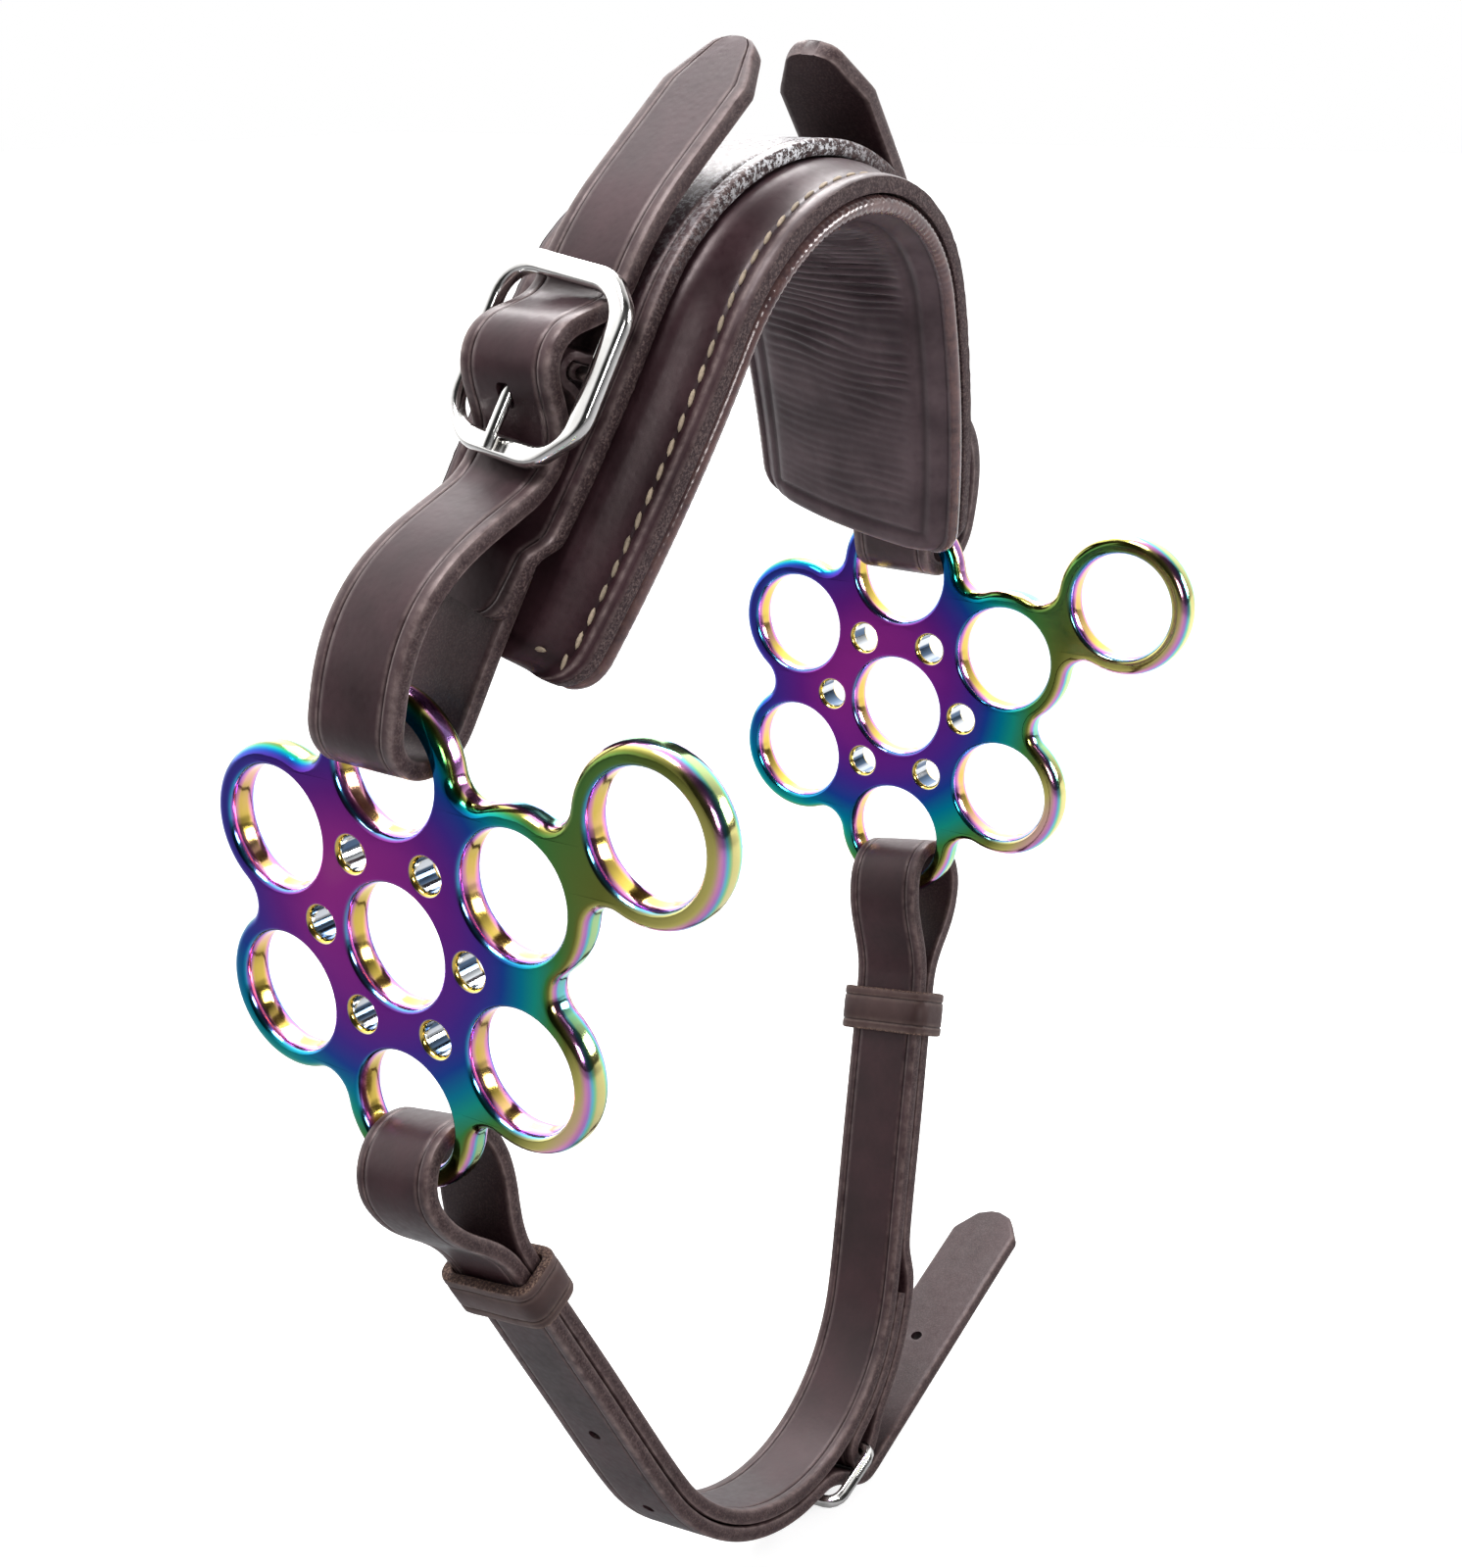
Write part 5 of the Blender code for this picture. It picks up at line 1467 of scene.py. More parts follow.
    def lining_profile(self) -> list[tuple[float, float]]:
        """The pad's underside from its edge to near its middle.

        Returns:
            Shares of the half width with depths below the rim's face.
        """
        turns = [math.radians(-85 + 14.5 * step) for step in range(13)]
        bead = [(1 - (1.5 - 1.62 * math.cos(turn)) * MM / (self.width / 2),
                 4.85 + 1.52 * math.sin(turn)) for turn in turns]
        swell = [(0.915, 6.05), (0.9, 6.3), (0.865, 6.85), (0.84, 7.2), (0.815, 7.5),
                 (0.79, 7.72), (0.765, 7.8), (0.74, 7.98), (0.71, 8.25)]
        middle = [(share, 8.3 + 1.2 * (1 - (share / 0.71) ** 2)) for share in
                  (0.66, 0.61, 0.56, 0.5, 0.44, 0.38, 0.32, 0.26, 0.2, 0.14, 0.07)]
        return [(share, depth * MM) for share, depth in bead + swell + middle]

    def wrinkle(self, along: float, across: float) -> float:
        """Fine folds of the lining, still near the seams and the feet.

        Args:
            along: distance along the noseband.
            across: distance across it.

        Returns:
            Their height, about -1 to 1.
        """
        calm = ease((self.inner(along, across) - 7 * MM) / (4 * MM))
        calm *= 1 - 0.75 * ease((abs(along) - 45 * MM) / (20 * MM))
        wave = 5.0 * noise.noise(Vector((along * 120, across * 45, 0.0)))
        wave += 1.8 * noise.noise(Vector((along * 260, across * 110, 3.0)))
        patch = 0.6 + 0.9 * noise.noise(Vector((along * 80, across * 60, 7.0)))
        return calm * math.sin(along * 3000 + wave) * max(patch, 0.2)

    def gather(self, along: float, across: float) -> float:
        """Fine tucks of the lining where it is rolled over the edge, -1 to 1.

        Args:
            along: distance along the noseband.
            across: distance across it.

        Returns:
            The tucks' height there.
        """
        bead = ease((abs(across) / (self.width / 2) - 0.92) / 0.03)
        fading = 1 - 0.75 * ease((abs(along) - 20 * MM) / (35 * MM))
        tucks = math.sin(along * 4300 + 4 * noise.noise(Vector((along * 300, 0, 0))))
        return bead * fading * tucks

    def make_pad(self) -> bpy.types.Object:
        """The foam-filled pad in its soft lining: rolled, gathered edges, fine wrinkles across.

        Returns:
            The piece.
        """
        half = self.width / 2
        right = self.lining_profile()
        under = right + [(0.0, 9.5 * MM)] + [(-share, depth) for share, depth in reversed(right)]
        top_shares = [-0.84, -0.7, -0.62, -0.55, -0.25, 0.25, 0.55, 0.62, 0.7, 0.84]
        section = [(share * half, depth) for share, depth in under]
        section += [(share * half, None) for share in top_shares]

        def place(along: float, column: tuple[float, float | None]) -> Vector:
            """Lie under the base on top, and roll, wrinkle and gather below.

            Args:
                along: distance along the noseband.
                column: the section's column.

            Returns:
                The point.
            """
            across, depth = column
            narrow = self.drawn(along)
            if depth is None:
                height = self.crown_at(along, across) - self.base_thickness - GAP
                return self.place(along, across * narrow, height)
            from_end = max(1 - (self.half - abs(along)) / self.roll, 0.0)
            rolled = 0.12 + 0.88 * math.sqrt(max(1 - from_end ** 2, 0.0))
            low = self.lip + (depth - self.lip) * rolled
            low -= 0.55 * MM * bell(self.inner(along, across) - self.lining_seam_inset, 0.8 * MM)
            spot = self.place(along, across * narrow, -low)
            inward = (self.place(along, across * narrow, -low - MM) - spot).normalized()
            return spot + inward * (self.wrinkle_height * self.wrinkle(along, across)
                                    + self.gather_height * self.gather(along, across))

        def rolled_edge(along: float, column: tuple[float, float | None]) -> float:
            """Rub and polish the rolled edge; its lighter tint is partly painted highlight."""
            share = abs(column[0]) / half
            return 0.0 if column[1] is None else 0.9 * ease((share - 0.93) / 0.04)

        def groove_shade(along: float, column: tuple[float, float | None]) -> float:
            """Paint shade into the seam and the folds' valleys.

            Args:
                along: distance along the noseband.
                column: the section's column.

            Returns:
                How much painted shade the point gets.
            """
            if column[1] is None:
                return 0.0
            from_seam = self.inner(along, column[0]) - self.lining_seam_inset
            # Painted shade in the folds' valleys and along the seam
            valley = ease(-2.2 * self.wrinkle(along, column[0]))
            return max(0.8 * bell(from_seam, 0.6 * MM), valley)
        pad = self.formed("nose_pad", self.rows(0.42 * MM, self.half - 0.4 * MM), section, place,
                          {"wear": rolled_edge, "groove_shade": groove_shade, "sheen": rolled_edge})
        dress(pad, self.finishes.lining, "noseband", "lining_leather", "nose_pad_lining",
              "nose_pad_foam")
        return pad

    def overlay_lift(self, along: float) -> float:
        """How far the overlay rises over a nose strap's sewn end.

        Args:
            along: distance along the noseband.

        Returns:
            The rise.
        """
        run = 3 / 2 * self.strap_thickness
        start = self.half - self.strap_tuck - self.strap_thickness - run
        return (self.strap_thickness + GAP) * ease((abs(along) - start) / run)

    def make_overlay(self) -> bpy.types.Object:
        """The raised strap along the crown, with raw fibrous edges and a crackled top.

        Returns:
            The piece.
        """
        end = self.half - self.overlay_end_margin
        section = strap_section(self.overlay_width, self.overlay_thickness,
                                self.overlay_crease_inset, rough=1.0)
        columns = [(point.across, point) for point in section]

        def place(along: float, column: tuple[float, SectionPoint]) -> Vector:
            """Lay the section on the crown, round its ends and fray its edges.

            Args:
                along: distance along the noseband.
                column: the section's column.

            Returns:
                The point.
            """
            across, point = column
            across *= 1 - corner_cut(end - abs(along), self.corner / 2) / (self.overlay_width / 2)
            middle = (self.crown_height(along) + GAP + self.overlay_thickness / 2
                      + self.overlay_lift(along))
            spot = self.place(along, across, middle + point.height)
            if point.flesh > 0.5:
                rough = noise.noise(spot * 700) + 0.8 * noise.noise(spot * 1900)
                spot += Vector((0, math.copysign(0.22 * MM, point.across), 0.1 * MM)) * rough
            return spot

        def crackle(along: float, column: tuple[float, SectionPoint]) -> float:
            """Crack the finish near the middle, most along the edges."""
            share = 1.0 if abs(column[0]) > 0.25 * self.overlay_width else 0.7
            return share * bell(along + 6 * MM, 17 * MM)
        marks = {mark: (lambda along, column, mark=mark: column[1].marks[mark])
                 for mark in section[0].marks}
        overlay = self.formed("noseband_overlay_strap", self.rows(1.0 * MM, end), columns, place,
                              {**marks, "crackle": crackle})
        return dress(overlay, self.finishes.bridle, "noseband", "havana_leather",
                     "noseband_overlay")

    def seam(self, inset: float, height: Callable[[float, float], float],
             skip_middle: float) -> list[Station]:
        """Find the stitches of a seam that runs round the noseband inside its edge.

        Args:
            inset: distance from the edge.
            height: gives the seam's height off the rim's face for a place.
            skip_middle: stitches on the ends nearer than this to the middle line are left out.

        Returns:
            The stitches' stations in order.
        """
        edge, end = self.width / 2 - inset, self.half - inset
        places = []
        count = round(2 * end / self.stitch_pitch)
        for index in range(count + 1):
            along = -end + 2 * end * index / count
            places += [(along, edge, 1.0, 0.0), (along, -edge, 1.0, 0.0)]
        count = round(2 * edge / self.stitch_pitch)
        for index in range(1, count):
            across = -edge + 2 * edge * index / count
            if abs(across) > skip_middle:
                places += [(end, across, 0.0, 1.0), (-end, across, 0.0, 1.0)]
        stations = []
        small = 0.2 * MM
        for along, across, run_along, run_across in places:
            level = height(along, across)
            across *= self.drawn(along)
            spot = self.place(along, across, level)
            ahead = self.place(along + run_along * small, across + run_across * small, level)
            out = (self.place(along, across, level + MM) - spot).normalized()
            heading = (ahead - spot).normalized()
            stations.append(Station(spot, out.cross(heading).normalized(), out, along))
        return stations

    def make_seams(self) -> None:
        """The beige rim seam outside and the lining's dark seam inside."""
        outer = self.seam(self.stitch_inset,
                          lambda along, across: self.crown_at(along, across) - 0.12 * MM,
                          skip_middle=14.5 * MM)
        row = sew("noseband_rim_stitches", outer, 3.1 * MM, 0.9 * MM, 0.14)
        dress(row, self.finishes.thread, "noseband", "havana_leather")
        inner = self.seam(self.lining_seam_inset, lambda along, across: -self.lining_seam_depth,
                          skip_middle=0.0)
        inner = [replace(station, out=-station.out) for station in inner]
        row = sew("lining_stitches", inner, 3.0 * MM, 0.6 * MM, -0.1)
        dress(row, self.finishes.dark_thread, "noseband", "lining_leather")

    def build(self) -> None:
        """Make every piece of the noseband."""
        self.make_base()
        self.make_pad()
        self.make_overlay()
        self.make_seams()


@dataclass
class NoseStrap:
    """One nose strap from its sewn end round the ring and through its buckle, with its chape."""

    side: Side
    finishes: Finishes
    width: float = 18.0 * MM
    thickness: float = 3.2 * MM
    crease_inset: float = 2.5 * MM
    tip_length: float = 10.0 * MM
    slot_size: tuple[float, float, float] = (3.6 * MM, 2.8 * MM, 8.6 * MM)

    def stations(self) -> list[Station]:
        """Places along the strap, square to its own direction.

        Returns:
            The stations in order.
        """
        points = resample(nose_route(self.side), 1.0 * MM)
        last = len(points) - 1
        lengths = [0.0]
        for before, after in zip(points, points[1:]):
            lengths.append(lengths[-1] + (after - before).length)
        stations = []
        for index, point in enumerate(points):
            heading = points[min(index + 1, last)] - points[max(index - 1, 0)]
            face = Vector((-heading.z, 0, heading.x))
            across = face.cross(heading).normalized()
            across = across if across.y > 0 else -across
            out = heading.cross(across).normalized() * -self.side.value
            share = tip_share(lengths[-1] - lengths[index], self.tip_length)
            stations.append(Station(point, across, out, lengths[index], share))
        return stations

    def build(self) -> None:
        """Make the strap and its chape."""
        suffix = self.side.suffix
        section = strap_section(self.width, self.thickness, self.crease_inset)
        strap = sweep("nose_strap_leather_" + suffix, self.stations(), section)
        cut_slot(strap, placement("nose_slot", self.side), self.slot_size)
        dress(strap, self.finishes.bridle, "noseband", "havana_leather", "nose_strap_" + suffix)
        node = "nose_buckle_chape_" + suffix
        chape = copy_of_node(node, "chape_leather_" + suffix, 0.25 * MM)
        store(chape.data, "wear", [0.25] * len(chape.data.vertices))
        dress(chape, self.finishes.bridle, "noseband", "havana_leather", node)


@dataclass
class ChinStrap:
    """The doubled chin strap with its holes, and its two keepers."""

    finishes: Finishes
    width: float = 17.0 * MM
    thickness: float = 3.0 * MM
    crease_inset: float = 2.2 * MM
    lean: float = math.radians(10.0)
    tip_length: float = 7.0 * MM
    hole_radius: float = 1.3 * MM
    billet_slot: tuple[float, float, float] = (3.4 * MM, 2.6 * MM, 8.6 * MM)
    wrap_slot: tuple[float, float, float] = (8.65 * MM, 2.6 * MM, 10.05 * MM)
    keeper_length: float = 9.5 * MM
    keeper_wall: float = 2.1 * MM
    keeper_play: float = 0.05 * MM
    keeper_crease_inset: float = 2.0 * MM
    keeper_step: float = 1.2 * MM

    def stations(self) -> list[Station]:
        """Places along the strap; its width always lies across the leaning plane.

        Returns:
            The stations in order.
        """
        points = resample(chin_route(), 1.2 * MM)
        across = Vector((0, math.cos(self.lean), -math.sin(self.lean)))
        last = len(points) - 1
        along = 0.0
        total = sum((after - before).length for before, after in zip(points, points[1:]))
        stations = []
        for index, point in enumerate(points):
            if index:
                along += (point - points[index - 1]).length
            heading = (points[min(index + 1, last)] - points[max(index - 1, 0)]).normalized()
            share = tip_share(total - along, self.tip_length)
            stations.append(Station(point, across, across.cross(heading), along, share))
        return stations

    def make_strap(self) -> None:
        """The long strap with its prong slots and punched holes."""
        section = strap_section(self.width, self.thickness, self.crease_inset)
        strap = sweep("chin_strap_leather", self.stations(), section)
        for place, direction in CHIN_HOLES:
            cut_hole(strap, Vector(place) * MM, Vector(direction), self.hole_radius,
                     self.thickness + GAP)
        cut_slot(strap, BILLET_SLOT, self.billet_slot)
        cut_slot(strap, WRAP_SLOT, self.wrap_slot)
        dress(strap, self.finishes.chin, "chin", "havana_leather", "chin_strap")

    def make_keeper(self, side: Side) -> None:
        """A leather loop with raw edges round both layers of one leg.

        Args:
            side: which leg it goes round.
        """
        place = placement("keeper", side)
        turn = place.to_3x3()
        clear = GAP + self.keeper_wall / 2 + self.keeper_play
        loop = [point.to_3d() for point in
                round_box(self.width / 2 + clear, self.thickness + GAP / 2 + clear,
                          self.keeper_wall, 6)]
        loop = resample(loop + [loop[0]], self.keeper_step)[:-1]
        stations = []
        for index, point in enumerate(loop):
            heading = (loop[(index + 1) % len(loop)] - loop[index - 1]).normalized()
            wobble = 0.22 * MM * noise.noise(point * 160 + Vector((0, 0, side.value)))
            out = Vector((heading.y, -heading.x, 0))
            stations.append(Station(place @ (point + Vector((0, 0, wobble))),
                                    turn @ Vector((0, 0, 1)), turn @ out,
                                    index * self.keeper_step))
        section = strap_section(self.keeper_length, self.keeper_wall, self.keeper_crease_inset,
                                rough=1.0)
        keeper = sweep("chin_keeper_leather_" + side.suffix, stations, section, looped=True)
        for vertex in keeper.data.vertices:
            vertex.co += 0.05 * MM * noise.noise_vector(vertex.co * 1100)
        dress(keeper, self.finishes.keeper, "keeper_" + side.suffix, "havana_leather",
              "chin_keeper_" + side.suffix)

    def build(self) -> None:
        """Make the strap and the keepers."""
        self.make_strap()
        for side in Side:
            self.make_keeper(side)


def bearing(start: Vector, end: Vector) -> float:
    """Direction from one point of a plane to another, as an angle."""
    return math.atan2(end.y - start.y, end.x - start.x)


@dataclass(frozen=True)
class Rounding:
    """How far an edge's rounding reaches over the face, and down the side."""

    wide: float
    deep: float


@dataclass
class CheekWheel:
    """A flower of rings cut from plate with the rein ring on its forward petal."""

    side: Side
    finishes: Finishes
    spread: float = 156.0 * MM
    setback: float = 15.7 * MM
    drop: float = 107.5 * MM
    petal_radius: float = 30.0 * MM
    hole_radius: float = 10.6 * MM
    wall: float = 3.8 * MM
    thickness: float = 6.0 * MM
    rein_distance: float = 60.0 * MM
    rein_angle: float = math.radians(30.0)
    fillet: float = 4.5 * MM
    small_radius: float = 3.0 * MM
    small_circle: float = 16.5 * MM
    edge_round: float = 1.4 * MM
    rim_round: Rounding = Rounding(1.8 * MM, 2.4 * MM)
    bore_round: Rounding = Rounding(1.1 * MM, 2.3 * MM)
    small_round: Rounding = Rounding(0.8 * MM, 1.0 * MM)

    def petals(self) -> list[Vector]:
        """Centres of the six petals in the plate's plane."""
        return arc(Vector((0, 0)), self.petal_radius, self.rein_angle, 2 * math.pi, 6)[:-1]

    def rein_ring(self) -> Vector:
        """Centre of the rein ring in the plate's plane."""
        return self.rein_distance * Vector((math.cos(self.rein_angle), math.sin(self.rein_angle)))

    def bores(self) -> list[tuple[Vector, float]]:
        """Centres and radii of every bore: petals, rein ring, middle and the small ones.

        Returns:
            Each bore's centre and radius.
        """
        middle = Vector((0, 0))
        large = [*self.petals(), self.rein_ring(), middle]
        small = arc(middle, self.small_circle, 0.0, 2 * math.pi, 6)[:-1]
        return ([(centre, self.hole_radius) for centre in large]
                + [(centre, self.small_radius) for centre in small])

    def outline(self) -> list[Vector]:
        """The plate's outer edge: round each ring and through a fillet in each notch.

        Returns:
            Its points in order.
        """
        petals, rein = self.petals(), self.rein_ring()
        walk = [petals[1], petals[0], rein, petals[0], petals[5], petals[4], petals[3], petals[2]]
        radius = self.hole_radius + self.wall
        notches = []
        for start, end in zip(walk, walk[1:] + walk[:1]):
            half = (end - start) / 2
            left = Vector((-half.y, half.x)).normalized()
            height = math.sqrt((radius + self.fillet) ** 2 - half.length ** 2)
            notches.append(start + half + left * height)
        points = []
        for index, centre in enumerate(walk):
            notch, towards = notches[index], walk[(index + 1) % len(walk)]
            first, last = bearing(centre, notches[index - 1]), bearing(centre, notch)
            turn = -((first - last) % (2 * math.pi))
            points += arc(centre, radius, first, turn, max(round(abs(turn) * 9), 2))
            first = bearing(notch, centre)
            turn = (bearing(notch, towards) - first + math.pi) % (2 * math.pi) - math.pi
            points += arc(notch, self.fillet, first, turn, 9)[1:-1]
        return points

    def shape_edges(self, mesh: bpy.types.Mesh) -> None:
        """Give rim, bores and small bores each their own rounding, and keep marks of them.

        Args:
            mesh: the wheel in its own plane, with one rounding on every edge.
        """
        outline, bores = self.outline(), self.bores()
        tree = KDTree(len(outline))
        for index, point in enumerate(outline):
            tree.insert((*point, 0.0), index)
        tree.balance()
        marks: dict[str, list[float]] = {"rim": [], "bore": [], "bare": [], "gilt": []}
        for vertex in mesh.vertices:
            flat = Vector(vertex.co[:2])
            level = self.thickness / 2 - abs(vertex.co.z)
            centre, radius = min(bores, key=lambda bore: abs((flat - bore[0]).length - bore[1]))
            reach = (flat - centre).length - radius
            near = Vector(tree.find((*flat, 0.0))[0][:2])
            in_bore = reach < self.edge_round + 0.05 * MM and reach < (flat - near).length
            in_small = in_bore and radius == self.small_radius
            edge = self.bore_round if in_bore else self.rim_round
            edge = self.small_round if in_small else edge
            widen = edge.wide / self.edge_round
            if in_bore:
                outward = (flat - centre).normalized()
                flat = centre + outward * (radius + max(reach, 0.0) * widen)
            else:
                flat = near + (flat - near) * widen
            if level < self.edge_round + 0.01 * MM:
                level *= edge.deep / self.edge_round
            vertex.co = (*flat, math.copysign(self.thickness / 2 - level, vertex.co.z))
            down = min(level / edge.deep, 1.0)
            marks["bore"].append(down if in_bore else 0.0)
            marks["rim"].append(0.0 if in_bore else down)
            marks["bare"].append(float(in_small and down > 0.99))
            marks["gilt"].append(float(in_small and 0.1 < down <= 0.99))
        for mark, values in marks.items():
            store(mesh, mark, values)

    def build(self) -> None:
        """Cut the wheel from a filled curve with rounded edges and stand it in its place."""
        suffix = self.side.suffix
        edges = [self.outline()]
        for centre, radius in self.bores():
            steps = 28 if radius == self.small_radius else 60
            edges.append(arc(centre, radius, 0.0, 2 * math.pi, steps)[:-1])
        wheel = flat_plate("cheek_wheel_" + suffix + "_coated", edges, self.thickness,
                           self.edge_round, 5)
        self.shape_edges(wheel.data)
        axes = Matrix(((0, 0, -1), (-1, 0, 0), (0, 1, 0))).to_4x4()
        axes.translation = (self.side.value * self.spread / 2, self.setback, -self.drop)
        wheel.data.transform(axes)
        smooth(wheel, 35.0)
        apply_modifier(wheel, "WEIGHTED_NORMAL", keep_sharp=True, weight=90)
        dress(wheel, self.finishes.steel, "wheel_" + suffix, "coated_steel",
              "cheek_wheel_" + suffix)


@dataclass
class NoseBuckle:
    """A cast centre-bar buckle with its prong, on one leg of the noseband."""

    side: Side
    finishes: Finishes
    half_length: float = 16.5 * MM
    half_width: float = 15.25 * MM
    chamfer: float = 7.5 * MM
    upper_chamfer: float = 5.6 * MM
    corner_ease: float = 3.0 * MM
    rim: float = 3.8 * MM
    thickness: float = 3.0 * MM
    edge_round: float = 1.1 * MM
    window_corner: float = 5.0 * MM
    bar_radius: float = 1.3 * MM
    prong_radius: float = 1.1 * MM
    prong_wrap: float = math.radians(275)

    def outer(self) -> list[Vector]:
        """The frame's outline: a rectangle with cut corners, each corner of it eased.

        Returns:
            The outline's points in order.
        """
        x, y, cut, top = self.half_length, self.half_width, self.chamfer, self.upper_chamfer
        corners = [Vector(c) for c in ((x, y - top), (x - top, y), (cut - x, y), (-x, y - cut),
                                       (-x, cut - y), (cut - x, -y), (x - top, -y), (x, top - y))]
        points = []
        for index, corner in enumerate(corners):
            before = (corners[index - 1] - corner).normalized() * self.corner_ease
            after = (corners[(index + 1) % 8] - corner).normalized() * self.corner_ease
            points += [corner + before * (1 - share) ** 2 + after * share ** 2
                       for share in (0.0, 0.2, 0.4, 0.6, 0.8, 1.0)]
        return points

    def prong_points(self) -> list[tuple[float, float, float]]:
        """Places along the prong in the frame's axes: bent round the bar, then over the rim.

        Returns:
            The places from the bar to the tip.
        """
        wrap = self.bar_radius + GAP + self.prong_radius
        rim = self.half_length - self.rim / 2
        tip = Vector((-rim - self.prong_radius, self.thickness / 2 + GAP + self.prong_radius))
        leave = math.atan2(tip.y, tip.x) - math.acos(wrap / tip.length)
        points = arc(Vector((0, 0)), wrap, leave - self.prong_wrap, self.prong_wrap, 28)
        points += [points[-1].lerp(tip, share) for share in (0.25, 0.5, 0.75, 0.97, 1.0)]
        return [(point.x, 0.0, point.y) for point in points]

    def build(self) -> None:
        """Make the frame with its bar, and the prong."""
        suffix = self.side.suffix
        place = placement("buckle", self.side)
        window = round_box(self.half_length - self.rim, self.half_width - self.rim,
                           self.window_corner, 8)
        casting = flat_plate("nose_buckle_casting_" + suffix, [self.outer(), window],
                             self.thickness, self.edge_round, 4)
        bar = primitive("cylinder", "bar", vertices=32, radius=self.bar_radius,
                        depth=2 * self.half_width - self.rim, rotation=(math.pi / 2, 0, 0))
        settle(bar)
        join([casting, bar])
        casting.data.transform(place)
        smooth(casting, 35.0)
        dress(casting, self.finishes.nickel, "noseband", "nickel_plate",
              "nose_buckle_frame_" + suffix)
        points = self.prong_points()
        tapering = [0.95, 0.9, 0.8]
        prong = wire("nose_prong_wire_" + suffix, points, self.prong_radius,
                     [1.0] * (len(points) - len(tapering)) + tapering)
        prong.data.transform(place)
        dress(prong, self.finishes.nickel, "nose_prong_" + suffix, "nickel_plate",
              "nose_buckle_prong_" + suffix)


@dataclass
class ChinBuckle:
    """The small wire buckle of the chin strap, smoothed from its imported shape."""

    finishes: Finishes

    def build(self) -> None:
        """Make the frame and the prong."""
        for node, name, body in (("chin_buckle_frame", "chin_buckle_wire", "chin"),
                                 ("chin_buckle_prong", "chin_prong_wire", "chin_prong")):
            thing = copy_of_node(node, name, 0.05 * MM)
            smooth(thing, 60.0)
            dress(thing, self.finishes.nickel, body, "nickel_plate", node)


@dataclass(frozen=True)
class Lamp:
    """One soft square lamp."""

    name: str
    place: tuple[float, float, float]
    size: float
    power: float
    target: tuple[float, float, float] = (0.0, 0.0, -0.12)

    def build(self) -> None:
        """Hang the lamp so that it points at its target."""
        data = bpy.data.lights.new(self.name, "AREA")
        data.shape = "SQUARE"
        data.size = self.size
        data.energy = self.power
        thing = put(self.name, data)
        thing.location = self.place
        aim = Vector(self.target) - Vector(self.place)
        thing.rotation_euler = aim.to_track_quat("-Z", "Y").to_euler()


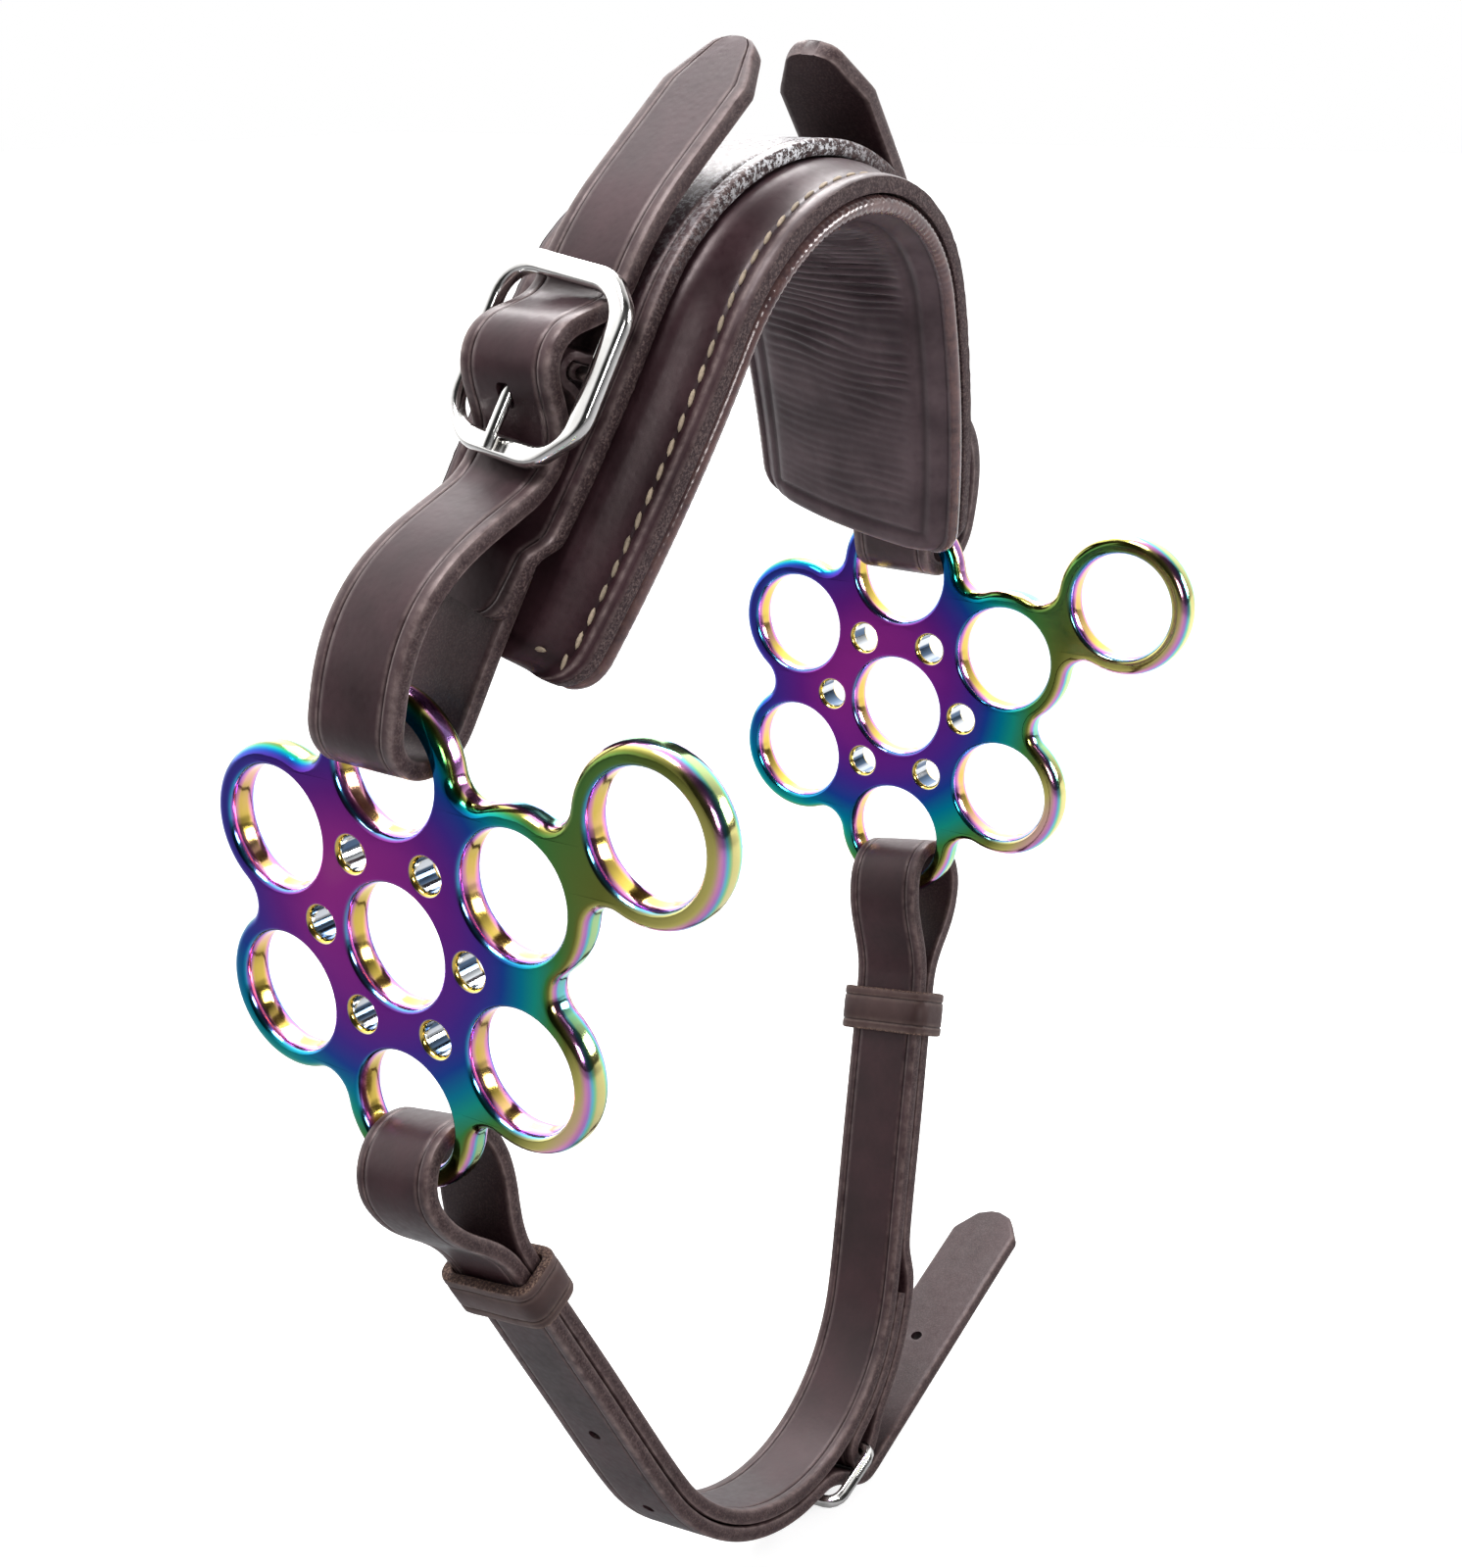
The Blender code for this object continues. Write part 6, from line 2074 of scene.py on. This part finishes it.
@dataclass
class Studio:
    """A pale floor, soft lamps, a white surround and the camera."""

    floor_drop: float = 2.0 * MM
    lens: float = 46.73
    camera_place: tuple[float, float, float] = (-0.2929, -0.2046, 0.0281)
    right: tuple[float, float, float] = (0.582, -0.813, -0.008)
    down: tuple[float, float, float] = (-0.279, -0.191, -0.941)
    floor_colour: Colour = (0.66, 0.66, 0.66)
    mirrored_floor: Colour = (0.26, 0.26, 0.27)
    lamps: tuple[Lamp, ...] = (Lamp("key", (-0.34, 0.10, 0.78), 0.35, 9.5),
                               Lamp("fill", (-0.40, -0.80, 0.20), 0.25, 3.0),
                               Lamp("back", (0.42, 0.32, 0.60), 0.50, 10.0),
                               Lamp("side", (0.50, -0.55, 0.12), 0.22, 3.0))

    def camera(self) -> None:
        """Stand the camera where the photograph was taken."""
        data = bpy.data.cameras.new("camera")
        data.lens = self.lens
        data.sensor_width = 36.0
        data.clip_start = 0.01
        data.clip_end = 20.0
        thing = put("camera", data)
        side = Vector(self.right).normalized()
        back = side.cross(-Vector(self.down)).normalized()
        axes = Matrix((side, back.cross(side), back)).transposed().to_4x4()
        axes.translation = self.camera_place
        thing.matrix_world = axes
        bpy.context.scene.camera = thing

    def floor(self) -> None:
        """A wide pale floor under the object that fades to white for the camera and in metal."""
        low = CAD_BOX[0].z - self.floor_drop
        thing = primitive("plane", "studio_floor", size=12, location=(0, 0, low))
        material, nodes, shader = start_material("floor_paint")
        path = nodes.add("LightPath").outputs
        nodes.feed(shader.inputs["Base Color"],
                   nodes.mix(path["Is Glossy Ray"], opaque(self.floor_colour),
                             opaque(self.mirrored_floor)))
        nodes.feed(shader.inputs["Roughness"], 0.9)
        away = nodes.add("VectorMath", operation="LENGTH", in_0=nodes.place).outputs["Value"]
        glow = nodes.math("MULTIPLY", path["Is Diffuse Ray"], 0.18)
        glow = nodes.math("MULTIPLY_ADD", path["Is Camera Ray"],
                          nodes.spread(away, 0.25, 1.6, 0.66, 0.92), glow)
        behind = nodes.add("VectorMath", operation="DOT_PRODUCT", in_0=nodes.place,
                           in_1=(0.8, 0.6, 0.0)).outputs["Value"]
        mirrored = nodes.spread(behind, -0.05, 0.45, 0.05, 0.85)
        nodes.feed(shader.inputs["Emission Strength"],
                   nodes.math("MULTIPLY_ADD", path["Is Glossy Ray"], mirrored, glow))
        nodes.feed(shader.inputs["Emission Color"], (1, 1, 1, 1))
        thing.data.materials.append(material)
        thing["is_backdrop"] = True

    def surround(self) -> None:
        """A white world, darker towards the camera's side in reflections, so metal has depth."""
        world = bpy.data.worlds.new("surround")
        bpy.context.scene.world = world
        world.use_nodes = True
        nodes = Nodes(world.node_tree)
        background = world.node_tree.nodes["Background"]
        direction = nodes.add("TexCoord").outputs["Generated"]
        path = nodes.add("LightPath").outputs
        towards = nodes.add("VectorMath", operation="DOT_PRODUCT", in_0=direction,
                            in_1=(-0.40, -0.90, -0.15)).outputs["Value"]
        glossy = nodes.math("MULTIPLY", path["Is Glossy Ray"],
                            nodes.spread(towards, -0.70, 0.25, 2.4, 0.03))
        height = nodes.add("SeparateXYZ", in_Vector=direction).outputs["Z"]
        plain = nodes.math("MULTIPLY", nodes.math("SUBTRACT", 1.0, path["Is Camera Ray"]),
                           nodes.spread(height, 0.0, 0.9, 0.06, 0.60))
        plain = nodes.math("MULTIPLY", plain, nodes.math("SUBTRACT", 1.0, path["Is Glossy Ray"]))
        rest = nodes.math("MAXIMUM", path["Is Camera Ray"], plain)
        nodes.feed(background.inputs["Color"], (1, 1, 1, 1))
        nodes.feed(background.inputs["Strength"], nodes.math("ADD", glossy, rest))

    def build(self) -> None:
        """Set the whole studio up."""
        self.floor()
        self.surround()
        for lamp in self.lamps:
            lamp.build()
        self.camera()
        bpy.context.scene.view_settings.view_transform = "Standard"


def main() -> None:
    """Build every piece in order."""
    logging.basicConfig(level=logging.INFO, format="%(name)s %(message)s")
    noise.seed_set(1)
    finishes = Finishes()
    Studio().build()
    Noseband(finishes).build()
    for side in Side:
        NoseStrap(side, finishes).build()
        CheekWheel(side, finishes).build()
        NoseBuckle(side, finishes).build()
    ChinStrap(finishes).build()
    ChinBuckle(finishes).build()
    deselect()
    boxes = {"cad": CAD_BOX, "visual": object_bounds()}
    {name: [list(corner) for corner in box] for name, box in boxes.items()}


if __name__ == "__main__":
    main()
